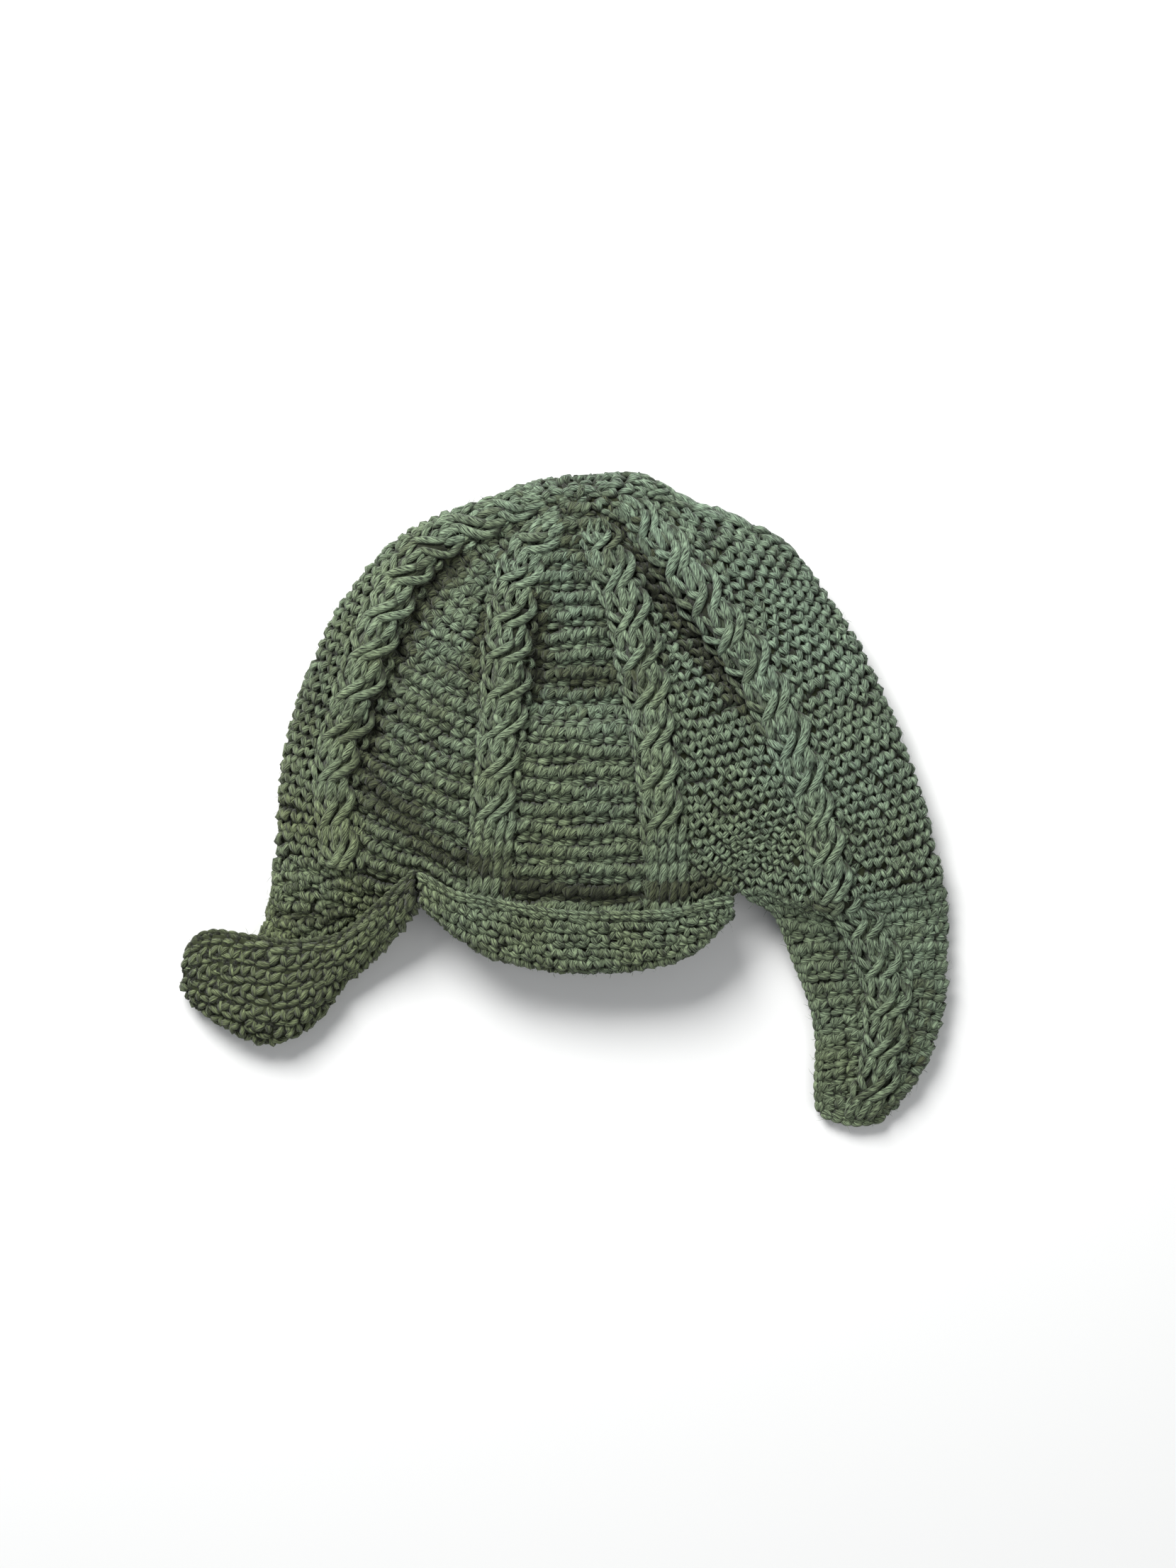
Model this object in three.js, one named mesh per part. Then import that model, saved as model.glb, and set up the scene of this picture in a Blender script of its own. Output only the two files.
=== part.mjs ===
// A crocheted hat with two earflaps, lying on its back with its front up.
// Millimetres, +Z up from the table, +Y from the face opening to the top of the crown, +X to the right.
// Every piece is knitted wall: a middle surface with half the wall's thickness on each side.
import * as THREE from "three";

const WALL = 4; // thickness of the crocheted cloth
const GAP = 0.3; // clearance between two pieces that are sewn together
const CABLES = 8; // raised ribs round the crown
const CABLE_WIDTH = 18;
const CABLE_HEIGHT = 4.2; // above the cloth, where the cable is free
const CABLE_UNDER_PEAK = 2.2; // above the cloth, where the peak lies on it
const EDGING_RADIUS = 1.7; // the round of chain stitches along the free edges

// The crown's sections, from its centre to its rim. Each names where the two side folds and the four
// front cables a to d lie in plan, how far the back reaches, and how high the top, folds and back are.
const SECTIONS = table("at leftX leftY aX aY bX bY cX cY dX dY rightX rightY backY topZ foldZ backZ", [
  [0.0, 7, 130, 7, 130, 7, 130, 7, 130, 7, 130, 7, 130, 130, 26, 26, 26],
  [0.08, -13, 131, -9, 126, -2, 117, 14, 117, 24, 124, 31, 134.5, 136, 30.5, 21, 12],
  [0.17, -32, 125.5, -28, 120, -15, 103, 18, 103, 38, 112, 47, 126.5, 116, 33, 17, 5.5],
  [0.33, -66, 111.5, -58, 104, -22, 73, 29, 72, 61, 80, 88.5, 109, 82, 35, 14, 4.4],
  [0.5, -92.2, 82.5, -76, 75, -25, 42, 36, 39, 81, 52, 113.6, 80, 50, 35, 13, 4.4],
  [0.67, -108.4, 49, -88, 41, -28, 9, 40, 5, 97, 19, 133.6, 43, 18, 32, 12, 4.4],
  [0.83, -118, 15, -96, 9, -31, -24, 42, -26, 107, -10, 148, 7, -11, 28, 11, 4.4],
  [1.0, -120.5, -24, -93, -28, -31, -56, 43, -60, 114, -42, 158.5, -32, -35, 23, 10, 4.4],
]);

const TOP_POWER = { centre: 2, rim: 3 }; // how full the upper half of a section is
const BACK_POWER = { centre: 2, rim: 12 }; // the lower half lies flat on the table

// Where the rim rises between the front and an earflap.
const NOTCHES = [
  { x: 77, rise: 17, reach: 18 },
  { x: -59, rise: 7, reach: 13 },
];

// How deep each front panel sinks between its cables, and where across the panel the dip is deepest.
const PANEL_DIPS = [
  { panel: 0, depth: 5, skew: 0.7 },
  { panel: 1, depth: 4, skew: 0.8 },
  { panel: 2, depth: 5, skew: 1.6 },
  { panel: 3, depth: 2, skew: 1 },
  { panel: 7, depth: 1.5, skew: 1 },
];
const DIP_AT = 0.4; // share of the way to the rim where the dips are deepest
const CREASE = { panel: 1, at: 0.5, above: 0.13, below: 0.03, depth: 5 }; // the tuck across the middle panel
// The folds along a panel's edges, beside its left cable (0) or its right one (1).
const VALLEYS = table("panel side at reach depth", [
  [0, 0, 0.62, 0.28, 7],
  [0, 1, 0.34, 0.14, 6],
  [1, 0, 0.42, 0.15, 6],
  [1, 1, 0.38, 0.14, 5],
  [2, 0, 0.3, 0.14, 3],
  [2, 1, 0.33, 0.2, 9],
  [3, 0, 0.3, 0.2, 3],
  [7, 1, 0.5, 0.3, 3],
]);
const VALLEY_FROM_CABLE = 12.5;
const VALLEY_REACH = 5;
const BACK_SAG = 2; // the back panels sag to the table between the cables

const CROWN_ROWS = 24;
const PANEL_SPLITS = [0, 0.14, 0.38, 0.62, 0.86, 1]; // where a panel's columns stand, from cable to cable
const COLUMNS_PER_REPEAT = 1 + PANEL_SPLITS.length;

// The peak is sewn to the front of the rim, turns up and lies on the crown. at counts cables along the rim,
// past is how far the turn lies past the rim, back how far the free edge comes back from the turn.
const PEAK_TURN_RADIUS = 3.8;
const PEAK_SECTIONS = table("at past back", [
  [0.52, 0.8, 9],
  [0.77, 1, 13],
  [1.0, 3.2, 18.5],
  [1.5, 6, 20],
  [2.0, 3.2, 17],
  [2.2, 1.5, 12],
  [2.4, 0.6, 2.5],
]);

// The left earflap is sewn to the rim, turns over and its front edge, the lip, comes back above itself.
// at is the place on the rim, fold the outermost line in plan, fold radius and height the size of the turn.
const LEFT_FLAP_SECTIONS = table("at foldX foldY foldZ radius lipX lipY lipZ", [
  [0.49, -62.5, -43, 25, 3.4, -62.5, -31, 29.5],
  [0.36, -73, -57, 17, 4.6, -73, -40.5, 27.5],
  [0.2, -81, -65, 12, 5.4, -80, -46.5, 24],
  [0.0, -94, -76, 9, 6, -93, -57, 18],
  [-0.2, -107, -93, 8.5, 6, -106, -60.5, 16],
  [-0.34, -119, -101, 8.2, 6, -119, -61, 15.5],
  [-0.42, -129, -101.5, 8.2, 6, -129, -59.5, 15.5],
]);
// Beyond the rim the flap's back edge is free: end is that edge, lying on the table.
const LEFT_TIP_SECTIONS = table("endX endY endZ foldX foldY foldZ radius lipX lipY lipZ", [
  [-121.5, -41, 5, -139, -98, 8.2, 6, -139, -58, 15.5],
  [-125, -55, 3, -147.5, -92.5, 8, 5.8, -147.5, -56.8, 15],
  [-139, -63, 2.4, -156.5, -86.5, 7.6, 5.3, -155.5, -59, 14],
  [-153, -67, 3.6, -161.2, -78.5, 7, 3.6, -160.7, -65, 11.5],
]);

// The right earflap lies flat. Its sections run from the front edge over the cable to the side, where the
// back edge curls under. The first section is the rim itself.
const RIGHT_FLAP_RIM = [2.49, 3, 3.6, 3.82];
const RIGHT_FLAP_SECTIONS = table(
  "edgeX edgeY edgeZ ridgeX ridgeY ridgeZ sideX sideY sideZ underX underY underZ",
  [
    [90, -47, 16, 123.5, -50, 16, 159.6, -48, 9, 158, -47, 3.2],
    [98.5, -66, 10, 131, -66, 13, 160.3, -66, 8.5, 158, -66, 2.6],
    [106.5, -86, 6, 135.5, -83, 11, 159.5, -86, 8, 157, -86, 2.4],
    [109.5, -103, 4, 134.5, -100, 10, 154.7, -105, 8, 152, -105, 2.4],
    [109, -120, 3.2, 132, -117.5, 8, 146.2, -122.5, 6.5, 143, -121.5, 2.4],
    [109.5, -132.5, 3, 124.4, -136, 4.6, 137, -133.5, 4.2, 134.5, -132, 2.4],
  ],
);
const FLAP_CABLE_HEIGHT = 3.6;

// Rows of numbers with named columns.
function table(columns, rows) {
  const names = columns.split(" ");
  return rows.map((row) => Object.fromEntries(names.map((name, i) => [name, row[i]])));
}

const vec = (x, y, z) => new THREE.Vector3(x, y, z);
const mix = (a, b, t) => a + (b - a) * t;
const smooth = (low, high, x) => THREE.MathUtils.smoothstep(x, low, high);
const bell = (x) => Math.exp(-x * x);

// A smooth curve through (x, y) pairs, with the slopes that a Catmull-Rom curve has.
function curveThrough(points) {
  const slope = points.map(([x, y], i) => {
    const [x0, y0] = points[Math.max(i - 1, 0)];
    const [x1, y1] = points[Math.min(i + 1, points.length - 1)];
    return (y1 - y0) / (x1 - x0);
  });
  return (x) => {
    let i = points.findIndex((p, k) => k + 1 === points.length - 1 || x < points[k + 1][0]);
    i = Math.max(i, 0);
    const [x0, y0] = points[i];
    const [x1, y1] = points[i + 1];
    const step = x1 - x0;
    const t = (x - x0) / step;
    return (
      y0 * (1 + 2 * t) * (1 - t) ** 2 +
      slope[i] * step * t * (1 - t) ** 2 +
      y1 * t * t * (3 - 2 * t) +
      slope[i + 1] * step * t * t * (t - 1)
    );
  };
}

// A function that gives a table's row at any place between its rows. key names the column of places,
// or the rows count as 0, 1, 2 and so on.
function between(rows, key) {
  const place = (row, i) => (key ? row[key] : i);
  const names = Object.keys(rows[0]).filter((name) => name !== key);
  const curves = names.map((name) => curveThrough(rows.map((row, i) => [place(row, i), row[name]])));
  return (at) => Object.fromEntries(names.map((name, i) => [name, curves[i](at)]));
}

const sectionAt = between(SECTIONS, "at");

// The angle round a section at which it reaches x on its upper half. 0 is the left fold, PI the right one.
function angleAt(x, middle, half, power) {
  const share = THREE.MathUtils.clamp((x - middle) / half, -1, 1);
  return Math.acos(-Math.sign(share) * Math.abs(share) ** (power / 2));
}

// One closed section of the crown, as points with their distance along it and the place of each cable.
const RING_STEPS = 288;
const rings = new Map();
function ringAt(v) {
  if (rings.has(v)) return rings.get(v);
  const s = sectionAt(v);
  const middle = (s.leftX + s.rightX) / 2;
  const half = (s.rightX - s.leftX) / 2;
  const topPower = mix(TOP_POWER.centre, TOP_POWER.rim, smooth(0, 0.5, v));
  const backPower = mix(BACK_POWER.centre, BACK_POWER.rim, smooth(0.05, 0.4, v));
  const frontAngles = ["aX", "bX", "cX", "dX"].map((name) => angleAt(s[name], middle, half, topPower));
  const rowLine = curveThrough([
    [-Math.PI / 2, s.backY],
    [0, s.leftY],
    ...["aY", "bY", "cY", "dY"].map((name, i) => [frontAngles[i], s[name]]),
    [Math.PI, s.rightY],
    [Math.PI * 1.5, s.backY],
    [Math.PI * 2, s.leftY],
  ]);
  const points = [];
  for (let i = 0; i <= RING_STEPS; i++) {
    const angle = (i / RING_STEPS) * Math.PI * 2;
    const up = Math.sin(angle);
    const across = -Math.cos(angle);
    const power = up >= 0 ? topPower : backPower;
    const x = middle + half * Math.sign(across) * Math.abs(across) ** (2 / power);
    const height = up >= 0 ? s.topZ - s.foldZ : s.foldZ - s.backZ;
    const rise = NOTCHES.reduce((sum, n) => sum + n.rise * bell((x - n.x) / n.reach), 0);
    const y = rowLine(angle) + (up > 0 ? rise * smooth(0.75, 1, v) * Math.min(1, up * 3) : 0);
    points.push(vec(x, y, s.foldZ + height * up));
  }
  const along = [0];
  for (let i = 1; i <= RING_STEPS; i++) along.push(along[i - 1] + points[i].distanceTo(points[i - 1]));
  const whole = along[RING_STEPS];
  const lengthAt = (angle) => {
    const place = (angle / (Math.PI * 2)) * RING_STEPS;
    const i = Math.min(Math.floor(place), RING_STEPS - 1);
    return mix(along[i], along[i + 1], place - i);
  };
  const front = frontAngles.map(lengthAt);
  const last = front[front.length - 1];
  const backPitch = (front[0] + whole - last) / (CABLES - front.length + 1);
  const marks = [...front];
  while (marks.length < CABLES) marks.push(marks[marks.length - 1] + backPitch);
  marks.push(front[0] + whole);
  const ring = { points, along, whole, marks };
  rings.set(v, ring);
  return ring;
}

// How far the crown's cloth lies from the plain section: dips, the tuck, and the back's sag.
function relief(place, v, upper, pitch) {
  const panel = ((Math.floor(place) % CABLES) + CABLES) % CABLES;
  const across = place - Math.floor(place);
  const depthAlong = bell((v - DIP_AT) / 0.3) * smooth(0, 0.12, v);
  if (upper <= 0) {
    const hump = Math.min(1, Math.sin(Math.PI * across) * 1.5);
    return -BACK_SAG * hump * Math.min(1, -upper * 3) * smooth(0.2, 0.35, v);
  }
  let change = 0;
  const dip = PANEL_DIPS.find((d) => d.panel === panel);
  if (dip) change -= dip.depth * Math.sin(Math.PI * across ** dip.skew) ** 2 * depthAlong;
  for (const { panel: valleyPanel, side, at, reach, depth } of VALLEYS) {
    const fromCable = (side ? 1 - across : across) * pitch;
    if (valleyPanel === panel)
      change -= depth * bell((fromCable - VALLEY_FROM_CABLE) / VALLEY_REACH) * bell((v - at) / reach);
  }
  const creaseReach = v < CREASE.at ? CREASE.above : CREASE.below;
  if (panel === CREASE.panel)
    change -= CREASE.depth * Math.sin(Math.PI * across) * bell((v - CREASE.at) / creaseReach);
  return change * Math.min(1, upper * 1.5);
}

// A point of the crown's middle surface. place counts cables round the crown: 0 is cable a, 0.5 halfway to b.
function crownPoint(place, v) {
  if (v === 0) return vec(SECTIONS[0].leftX, SECTIONS[0].leftY, SECTIONS[0].foldZ);
  const ring = ringAt(v);
  const turns = Math.floor(place / CABLES);
  const local = place - turns * CABLES;
  const k = Math.min(Math.floor(local), CABLES - 1);
  const length = mix(ring.marks[k], ring.marks[k + 1], local - k) % ring.whole;
  let low = 0;
  let high = RING_STEPS;
  while (high - low > 1) {
    const half = (low + high) >> 1;
    if (ring.along[half] <= length) low = half;
    else high = half;
  }
  const t = (length - ring.along[low]) / (ring.along[high] - ring.along[low]);
  const point = ring.points[low].clone().lerp(ring.points[high], t);
  const upper = Math.sin(((low + t) / RING_STEPS) * Math.PI * 2);
  point.z += relief(place, v, upper, ring.marks[k + 1] - ring.marks[k]);
  return point;
}

// Half the cable's width, counted in cables round the crown.
function cableHalf(k, v) {
  const ring = ringAt(v);
  return Math.min(CABLE_WIDTH / 2 / (ring.marks[k + 1] - ring.marks[k]), 0.4);
}

// Normals of a grid of points. Rows go away from the crown's centre, columns go round it.
function gridNormals(grid, closed) {
  return grid.map((row, j) =>
    row.map((point, i) => {
      const count = row.length;
      const next = closed ? row[(i + 1) % count] : row[Math.min(i + 1, count - 1)];
      const before = closed ? row[(i + count - 1) % count] : row[Math.max(i - 1, 0)];
      const down = grid[Math.min(j + 1, grid.length - 1)][i].clone().sub(grid[Math.max(j - 1, 0)][i]);
      return down.cross(next.clone().sub(before)).normalize();
    }),
  );
}

const offsetGrid = (grid, normals, distance) =>
  grid.map((row, j) => row.map((p, i) => p.clone().addScaledVector(normals[j][i], distance)));

// A mesh that grows by points and by four-sided faces.
class Mesher {
  constructor() {
    this.positions = [];
    this.index = [];
  }
  point(p) {
    this.positions.push(p.x, p.y, p.z);
    return this.positions.length / 3 - 1;
  }
  triangle(a, b, c) {
    if (a !== b && b !== c && c !== a) this.index.push(a, b, c);
  }
  // Split from a to c.
  quad(a, b, c, d) {
    this.triangle(a, b, c);
    this.triangle(a, c, d);
  }
  geometry() {
    const geometry = new THREE.BufferGeometry();
    geometry.setAttribute("position", new THREE.Float32BufferAttribute(this.positions, 3));
    geometry.setIndex(this.volume() < 0 ? this.index.slice().reverse() : this.index);
    geometry.computeVertexNormals();
    return geometry;
  }
  volume() {
    const at = (k) => vec(...this.positions.slice(this.index[k] * 3, this.index[k] * 3 + 3));
    let sum = 0;
    for (let k = 0; k < this.index.length; k += 3) sum += at(k).dot(at(k + 1).cross(at(k + 2)));
    return sum;
  }
}

// A wall between an outer and an inner grid, closed along its free edges. pole: the first row is one point.
function wallGeometry(outer, inner, { closed = false, pole = false } = {}) {
  const mesher = new Mesher();
  const number = (grid) =>
    grid.map((row, j) => {
      if (!pole || j) return row.map((p) => mesher.point(p));
      const centre = mesher.point(row[0]);
      return row.map(() => centre);
    });
  const out = number(outer);
  const inn = number(inner);
  const rows = outer.length;
  const columns = outer[0].length;
  const spans = closed ? columns : columns - 1;
  for (let j = 0; j + 1 < rows; j++)
    for (let i = 0; i < spans; i++) {
      const n = (i + 1) % columns;
      mesher.quad(out[j][i], out[j + 1][i], out[j + 1][n], out[j][n]);
      mesher.quad(inn[j + 1][n], inn[j + 1][i], inn[j][i], inn[j][n]);
    }
  for (let i = 0; i < spans; i++) {
    const n = (i + 1) % columns;
    const j = rows - 1;
    mesher.quad(out[j][i], inn[j][i], inn[j][n], out[j][n]);
    if (!pole) mesher.quad(out[0][n], inn[0][n], inn[0][i], out[0][i]);
  }
  if (!closed)
    for (let j = 0; j + 1 < rows; j++) {
      const n = columns - 1;
      mesher.quad(out[j][0], inn[j][0], inn[j + 1][0], out[j + 1][0]);
      mesher.quad(out[j + 1][n], inn[j + 1][n], inn[j][n], out[j][n]);
    }
  return mesher.geometry();
}

// A cloth of the wall's thickness on both sides of a middle grid. The first row is sewn to the rim
// wherever an outward direction is given for it, and stands square to the rim there.
function clothGeometry(middle, sewnOut = []) {
  const normals = gridNormals(middle, false);
  sewnOut.forEach((out, i) => {
    if (out) normals[0][i] = out.clone().multiplyScalar(Math.sign(out.dot(normals[0][i])));
  });
  return wallGeometry(offsetGrid(middle, normals, WALL / 2), offsetGrid(middle, normals, -WALL / 2));
}

// A bar through rings of points, each with the same number of points, closed at both ends.
// Its faces split from the next ring's first corner, as the wall's do seen from the other side.
function barGeometry(ringsOfPoints) {
  const mesher = new Mesher();
  const numbers = ringsOfPoints.map((ring) => ring.map((p) => mesher.point(p)));
  const sides = ringsOfPoints[0].length;
  for (let j = 0; j + 1 < numbers.length; j++)
    for (let i = 0; i < sides; i++) {
      const n = (i + 1) % sides;
      mesher.quad(numbers[j + 1][i], numbers[j + 1][n], numbers[j][n], numbers[j][i]);
    }
  const first = numbers[0];
  const last = numbers[numbers.length - 1];
  const base = sides - 1;
  for (let i = 0; i + 1 < base; i++) {
    mesher.triangle(first[base], first[i], first[i + 1]);
    mesher.triangle(last[base], last[i + 1], last[i]);
  }
  return mesher.geometry();
}

// One ring of a raised cable that stands on three neighbouring points of the cloth's face.
function cableRing(points, normals, rise, clearance = GAP) {
  const [left, centre, right] = points;
  const [leftOut, centreOut, rightOut] = normals;
  const over = (point, out, height) => {
    const p = point.clone().addScaledVector(out, clearance + height);
    p.z = Math.max(p.z, 0);
    return p;
  };
  return [
    over(left, leftOut, 0),
    over(left, leftOut, rise * 0.55),
    over(centre, centreOut, rise),
    over(right, rightOut, rise * 0.55),
    over(right, rightOut, 0),
    over(centre, centreOut, 0),
  ];
}

// A round edging along a line of edge points. out points away from the cloth, up along its normal.
function edgingGeometry(line) {
  const SIDES = 6;
  return barGeometry(
    line.map(({ point, out, up }) => {
      const centre = point.clone().addScaledVector(out, GAP + EDGING_RADIUS);
      return Array.from({ length: SIDES }, (_, i) => {
        const angle = ((i + 0.5) / SIDES) * Math.PI * 2;
        return centre
          .clone()
          .addScaledVector(out, EDGING_RADIUS * Math.cos(angle))
          .addScaledVector(up, EDGING_RADIUS * Math.sin(angle));
      });
    }),
  );
}

const yarn = new THREE.MeshStandardMaterial({ color: 0x6b7f68, roughness: 0.95, metalness: 0 });
const cableYarn = new THREE.MeshStandardMaterial({ color: 0x748a71, roughness: 0.95, metalness: 0 });
const edgingYarn = new THREE.MeshStandardMaterial({ color: 0x647862, roughness: 0.95, metalness: 0 });

const hat = new THREE.Group();
function addPiece(name, geometry, material) {
  const mesh = new THREE.Mesh(geometry, material);
  mesh.name = name;
  hat.add(mesh);
  return mesh;
}

const steps = (count) => Array.from({ length: count + 1 }, (_, i) => i / count);

// The crown: one wall, round and closed, from its centre to its rim.
const crownLevels = steps(CROWN_ROWS);
function crownPlaces(v) {
  const places = [];
  for (let k = 0; k < CABLES; k++) {
    const start = k + cableHalf(k, v);
    const end = k + 1 - cableHalf((k + 1) % CABLES, v);
    places.push(k);
    places.push(...PANEL_SPLITS.map((split) => mix(start, end, split)));
  }
  return places;
}
const crownMiddle = crownLevels.map((v) => crownPlaces(Math.max(v, 0.02)).map((p) => crownPoint(p, v)));
const crownNormals = gridNormals(crownMiddle, true);
const poleNormal = crownNormals[1].reduce((sum, n) => sum.add(n), vec(0, 0, 0)).normalize();
crownNormals[0] = crownNormals[0].map(() => poleNormal);
const crownOuter = offsetGrid(crownMiddle, crownNormals, WALL / 2);
const crownInner = offsetGrid(crownMiddle, crownNormals, -WALL / 2);
addPiece("crown", wallGeometry(crownOuter, crownInner, { closed: true, pole: true }), yarn);

// The rim as it is meshed: the point just past it, the way the cloth goes on there, and the way out.
const rimPlaces = crownPlaces(1);
function rimFrame(place) {
  const turns = Math.floor(place / CABLES);
  const local = place - turns * CABLES;
  const count = rimPlaces.length;
  const i = rimPlaces.findLastIndex((p) => p <= local + 1e-9);
  const n = (i + 1) % count;
  const t = (local - rimPlaces[i]) / ((n ? rimPlaces[n] : CABLES) - rimPlaces[i]);
  const at = (row) => crownMiddle[row][i].clone().lerp(crownMiddle[row][n], t);
  const down = at(CROWN_ROWS).sub(at(CROWN_ROWS - 1)).normalize();
  const out = crownNormals[CROWN_ROWS][i].clone().lerp(crownNormals[CROWN_ROWS][n], t);
  return { sewn: at(CROWN_ROWS).addScaledVector(down, GAP), down, out };
}

// Places along the rim from start to end that hit each of its corners, with one more between two corners.
function placesAlongRim(start, end) {
  const low = Math.min(start, end);
  const high = Math.max(start, end);
  const corners = [-1, 0].flatMap((turn) => rimPlaces.map((p) => p + turn * CABLES));
  const kept = [low, ...corners.filter((p) => p > low + 0.03 && p < high - 0.03), high];
  const all = kept.flatMap((p, i) => (i ? [(p + kept[i - 1]) / 2, p] : [p]));
  return start < end ? all : all.reverse();
}

// The crown's cables: ribs from near the centre to the rim. a to d are in front, e to h at the back.
const CABLE_NAMES = ["a", "b", "c", "d", "e", "f", "g", "h"];
const CABLE_START_ROW = 3;
const UNDER_PEAK = ["b", "c"];
const PEAK_COVERS_FROM = 0.84; // share of the way to the rim where the peak begins to cover them
CABLE_NAMES.forEach((name, k) => {
  const columns = crownMiddle[0].length;
  const centre = k * COLUMNS_PER_REPEAT;
  const places = [(centre + columns - 1) % columns, centre, centre + 1];
  const rows = crownLevels.map((v, j) => j).slice(CABLE_START_ROW);
  const ribs = rows.map((j) => {
    const covered = smooth(PEAK_COVERS_FROM - 0.08, PEAK_COVERS_FROM, crownLevels[j]);
    const height = mix(CABLE_HEIGHT, CABLE_UNDER_PEAK, UNDER_PEAK.includes(name) ? covered : 0);
    const rise = j === CABLE_START_ROW ? height * 0.6 : height;
    const clearance = j === CABLE_START_ROW ? GAP * 2 : GAP;
    const points = places.map((i) => crownOuter[j][i]);
    const normals = places.map((i) => crownNormals[j][i]);
    return cableRing(points, normals, rise, clearance);
  });
  addPiece("crown_cable_" + name, barGeometry(ribs), cableYarn);
});

// The front peak.
const PEAK_TURN_STEPS = 5;
const PEAK_BACK_STEPS = 3;
const peakAt = between(PEAK_SECTIONS, "at");
const peakStart = PEAK_SECTIONS[0].at;
const peakEnd = PEAK_SECTIONS[PEAK_SECTIONS.length - 1].at;
const peakPlaces = placesAlongRim(peakStart, peakEnd);
const peakColumns = peakPlaces.map((at) => {
  const { past, back } = peakAt(at);
  const { sewn, down, out } = rimFrame(at);
  const radius = PEAK_TURN_RADIUS;
  const point = (along, up) => sewn.clone().addScaledVector(down, along).addScaledVector(out, up);
  return [
    point(0, 0),
    ...steps(PEAK_TURN_STEPS).map((s) => {
      const angle = s * Math.PI;
      return point(past + radius * Math.sin(angle), radius * (1 - Math.cos(angle)));
    }),
    ...steps(PEAK_BACK_STEPS).slice(1).map((s) => point(past - back * s, radius * 2)),
  ];
});
const acrossToRows = (columns) => columns[0].map((_, j) => columns.map((column) => column[j]));
const peakMiddle = acrossToRows(peakColumns);
const peakSewnOut = peakPlaces.map((at) => rimFrame(at).out);
addPiece("front_peak", clothGeometry(peakMiddle, peakSewnOut), yarn);

// The left earflap.
const LEFT_FREE_STEPS = 8;
const LEFT_ROW_STEPS = 11;
const leftPlaceAt = between(LEFT_FLAP_SECTIONS.map(({ at }) => ({ at })));
const turnColumns = ({ foldX, foldY, foldZ, radius, lipX, lipY, lipZ }) => ({
  foldX,
  foldY,
  foldZ,
  radius,
  lipX,
  lipY,
  lipZ,
});
const leftTurns = [...LEFT_FLAP_SECTIONS, ...LEFT_TIP_SECTIONS].map(turnColumns);
const leftTurnAt = between(leftTurns);
const lastSewn = LEFT_FLAP_SECTIONS.length - 1;
const freeEdge = new THREE.CatmullRomCurve3([
  rimFrame(LEFT_FLAP_SECTIONS[lastSewn].at).sewn,
  ...LEFT_TIP_SECTIONS.map(({ endX, endY, endZ }) => vec(endX, endY, endZ)),
]);
// The section whose sewn edge is at a place on the rim.
function leftSectionOf(place) {
  let low = 0;
  let high = lastSewn;
  for (let k = 0; k < 40; k++) {
    const half = (low + high) / 2;
    if (leftPlaceAt(half).at > place) low = half;
    else high = half;
  }
  return high;
}
const leftSewnPlaces = placesAlongRim(LEFT_FLAP_SECTIONS[0].at, LEFT_FLAP_SECTIONS[lastSewn].at);
const leftEnds = [
  ...leftSewnPlaces.map((place) => {
    const { sewn, out } = rimFrame(place);
    return { q: leftSectionOf(place), end: sewn, out };
  }),
  ...steps(LEFT_FREE_STEPS)
    .slice(1)
    .map((t) => ({ q: lastSewn + t * LEFT_TIP_SECTIONS.length, end: freeEdge.getPoint(t), out: null })),
];
const onTable = (p) => vec(p.x, p.y, Math.max(p.z, WALL / 2));
const leftColumns = leftEnds.map(({ q, end }) => {
  const { foldX, foldY, foldZ, radius, lipX, lipY, lipZ } = leftTurnAt(q);
  const fold = vec(foldX, foldY, foldZ);
  const lip = vec(lipX, lipY, lipZ);
  const inward = vec(lipX - foldX, lipY - foldY, 0).normalize().multiplyScalar(radius);
  const under = fold.clone().add(inward).setZ(foldZ - radius);
  const over = fold.clone().add(inward).setZ(foldZ + radius);
  const curve = new THREE.CatmullRomCurve3([end, under, fold, over, lip]);
  return curve.getSpacedPoints(LEFT_ROW_STEPS).map(onTable);
});
const leftMiddle = acrossToRows(leftColumns);
addPiece("earflap_left", clothGeometry(leftMiddle, leftEnds.map(({ out }) => out)), yarn);

// The right earflap.
const RIGHT_ROWS = 12;
const rightRows = [
  Object.fromEntries(
    ["edge", "ridge", "side", "under"].flatMap((name, i) => {
      const { sewn } = rimFrame(RIGHT_FLAP_RIM[i]);
      return [
        [name + "X", sewn.x],
        [name + "Y", sewn.y],
        [name + "Z", sewn.z],
      ];
    }),
  ),
  ...RIGHT_FLAP_SECTIONS,
];
const rightAt = between(rightRows);
const rightRimPlace = curveThrough(RIGHT_FLAP_RIM.map((at, i) => [i, at]));
function rightPoint(p, t) {
  const section = (q) => {
    const r = rightAt(q);
    return new THREE.CatmullRomCurve3([
      vec(r.edgeX, r.edgeY, r.edgeZ),
      vec(r.ridgeX, r.ridgeY, r.ridgeZ),
      vec(r.sideX, r.sideY, r.sideZ),
      vec(r.underX, r.underY, r.underZ),
    ]).getPoint(p / 3);
  };
  const toRim = rimFrame(rightRimPlace(p)).sewn.sub(section(0));
  return section(t * (rightRows.length - 1)).addScaledVector(toRim, 1 - smooth(0, 0.35, t));
}
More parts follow.
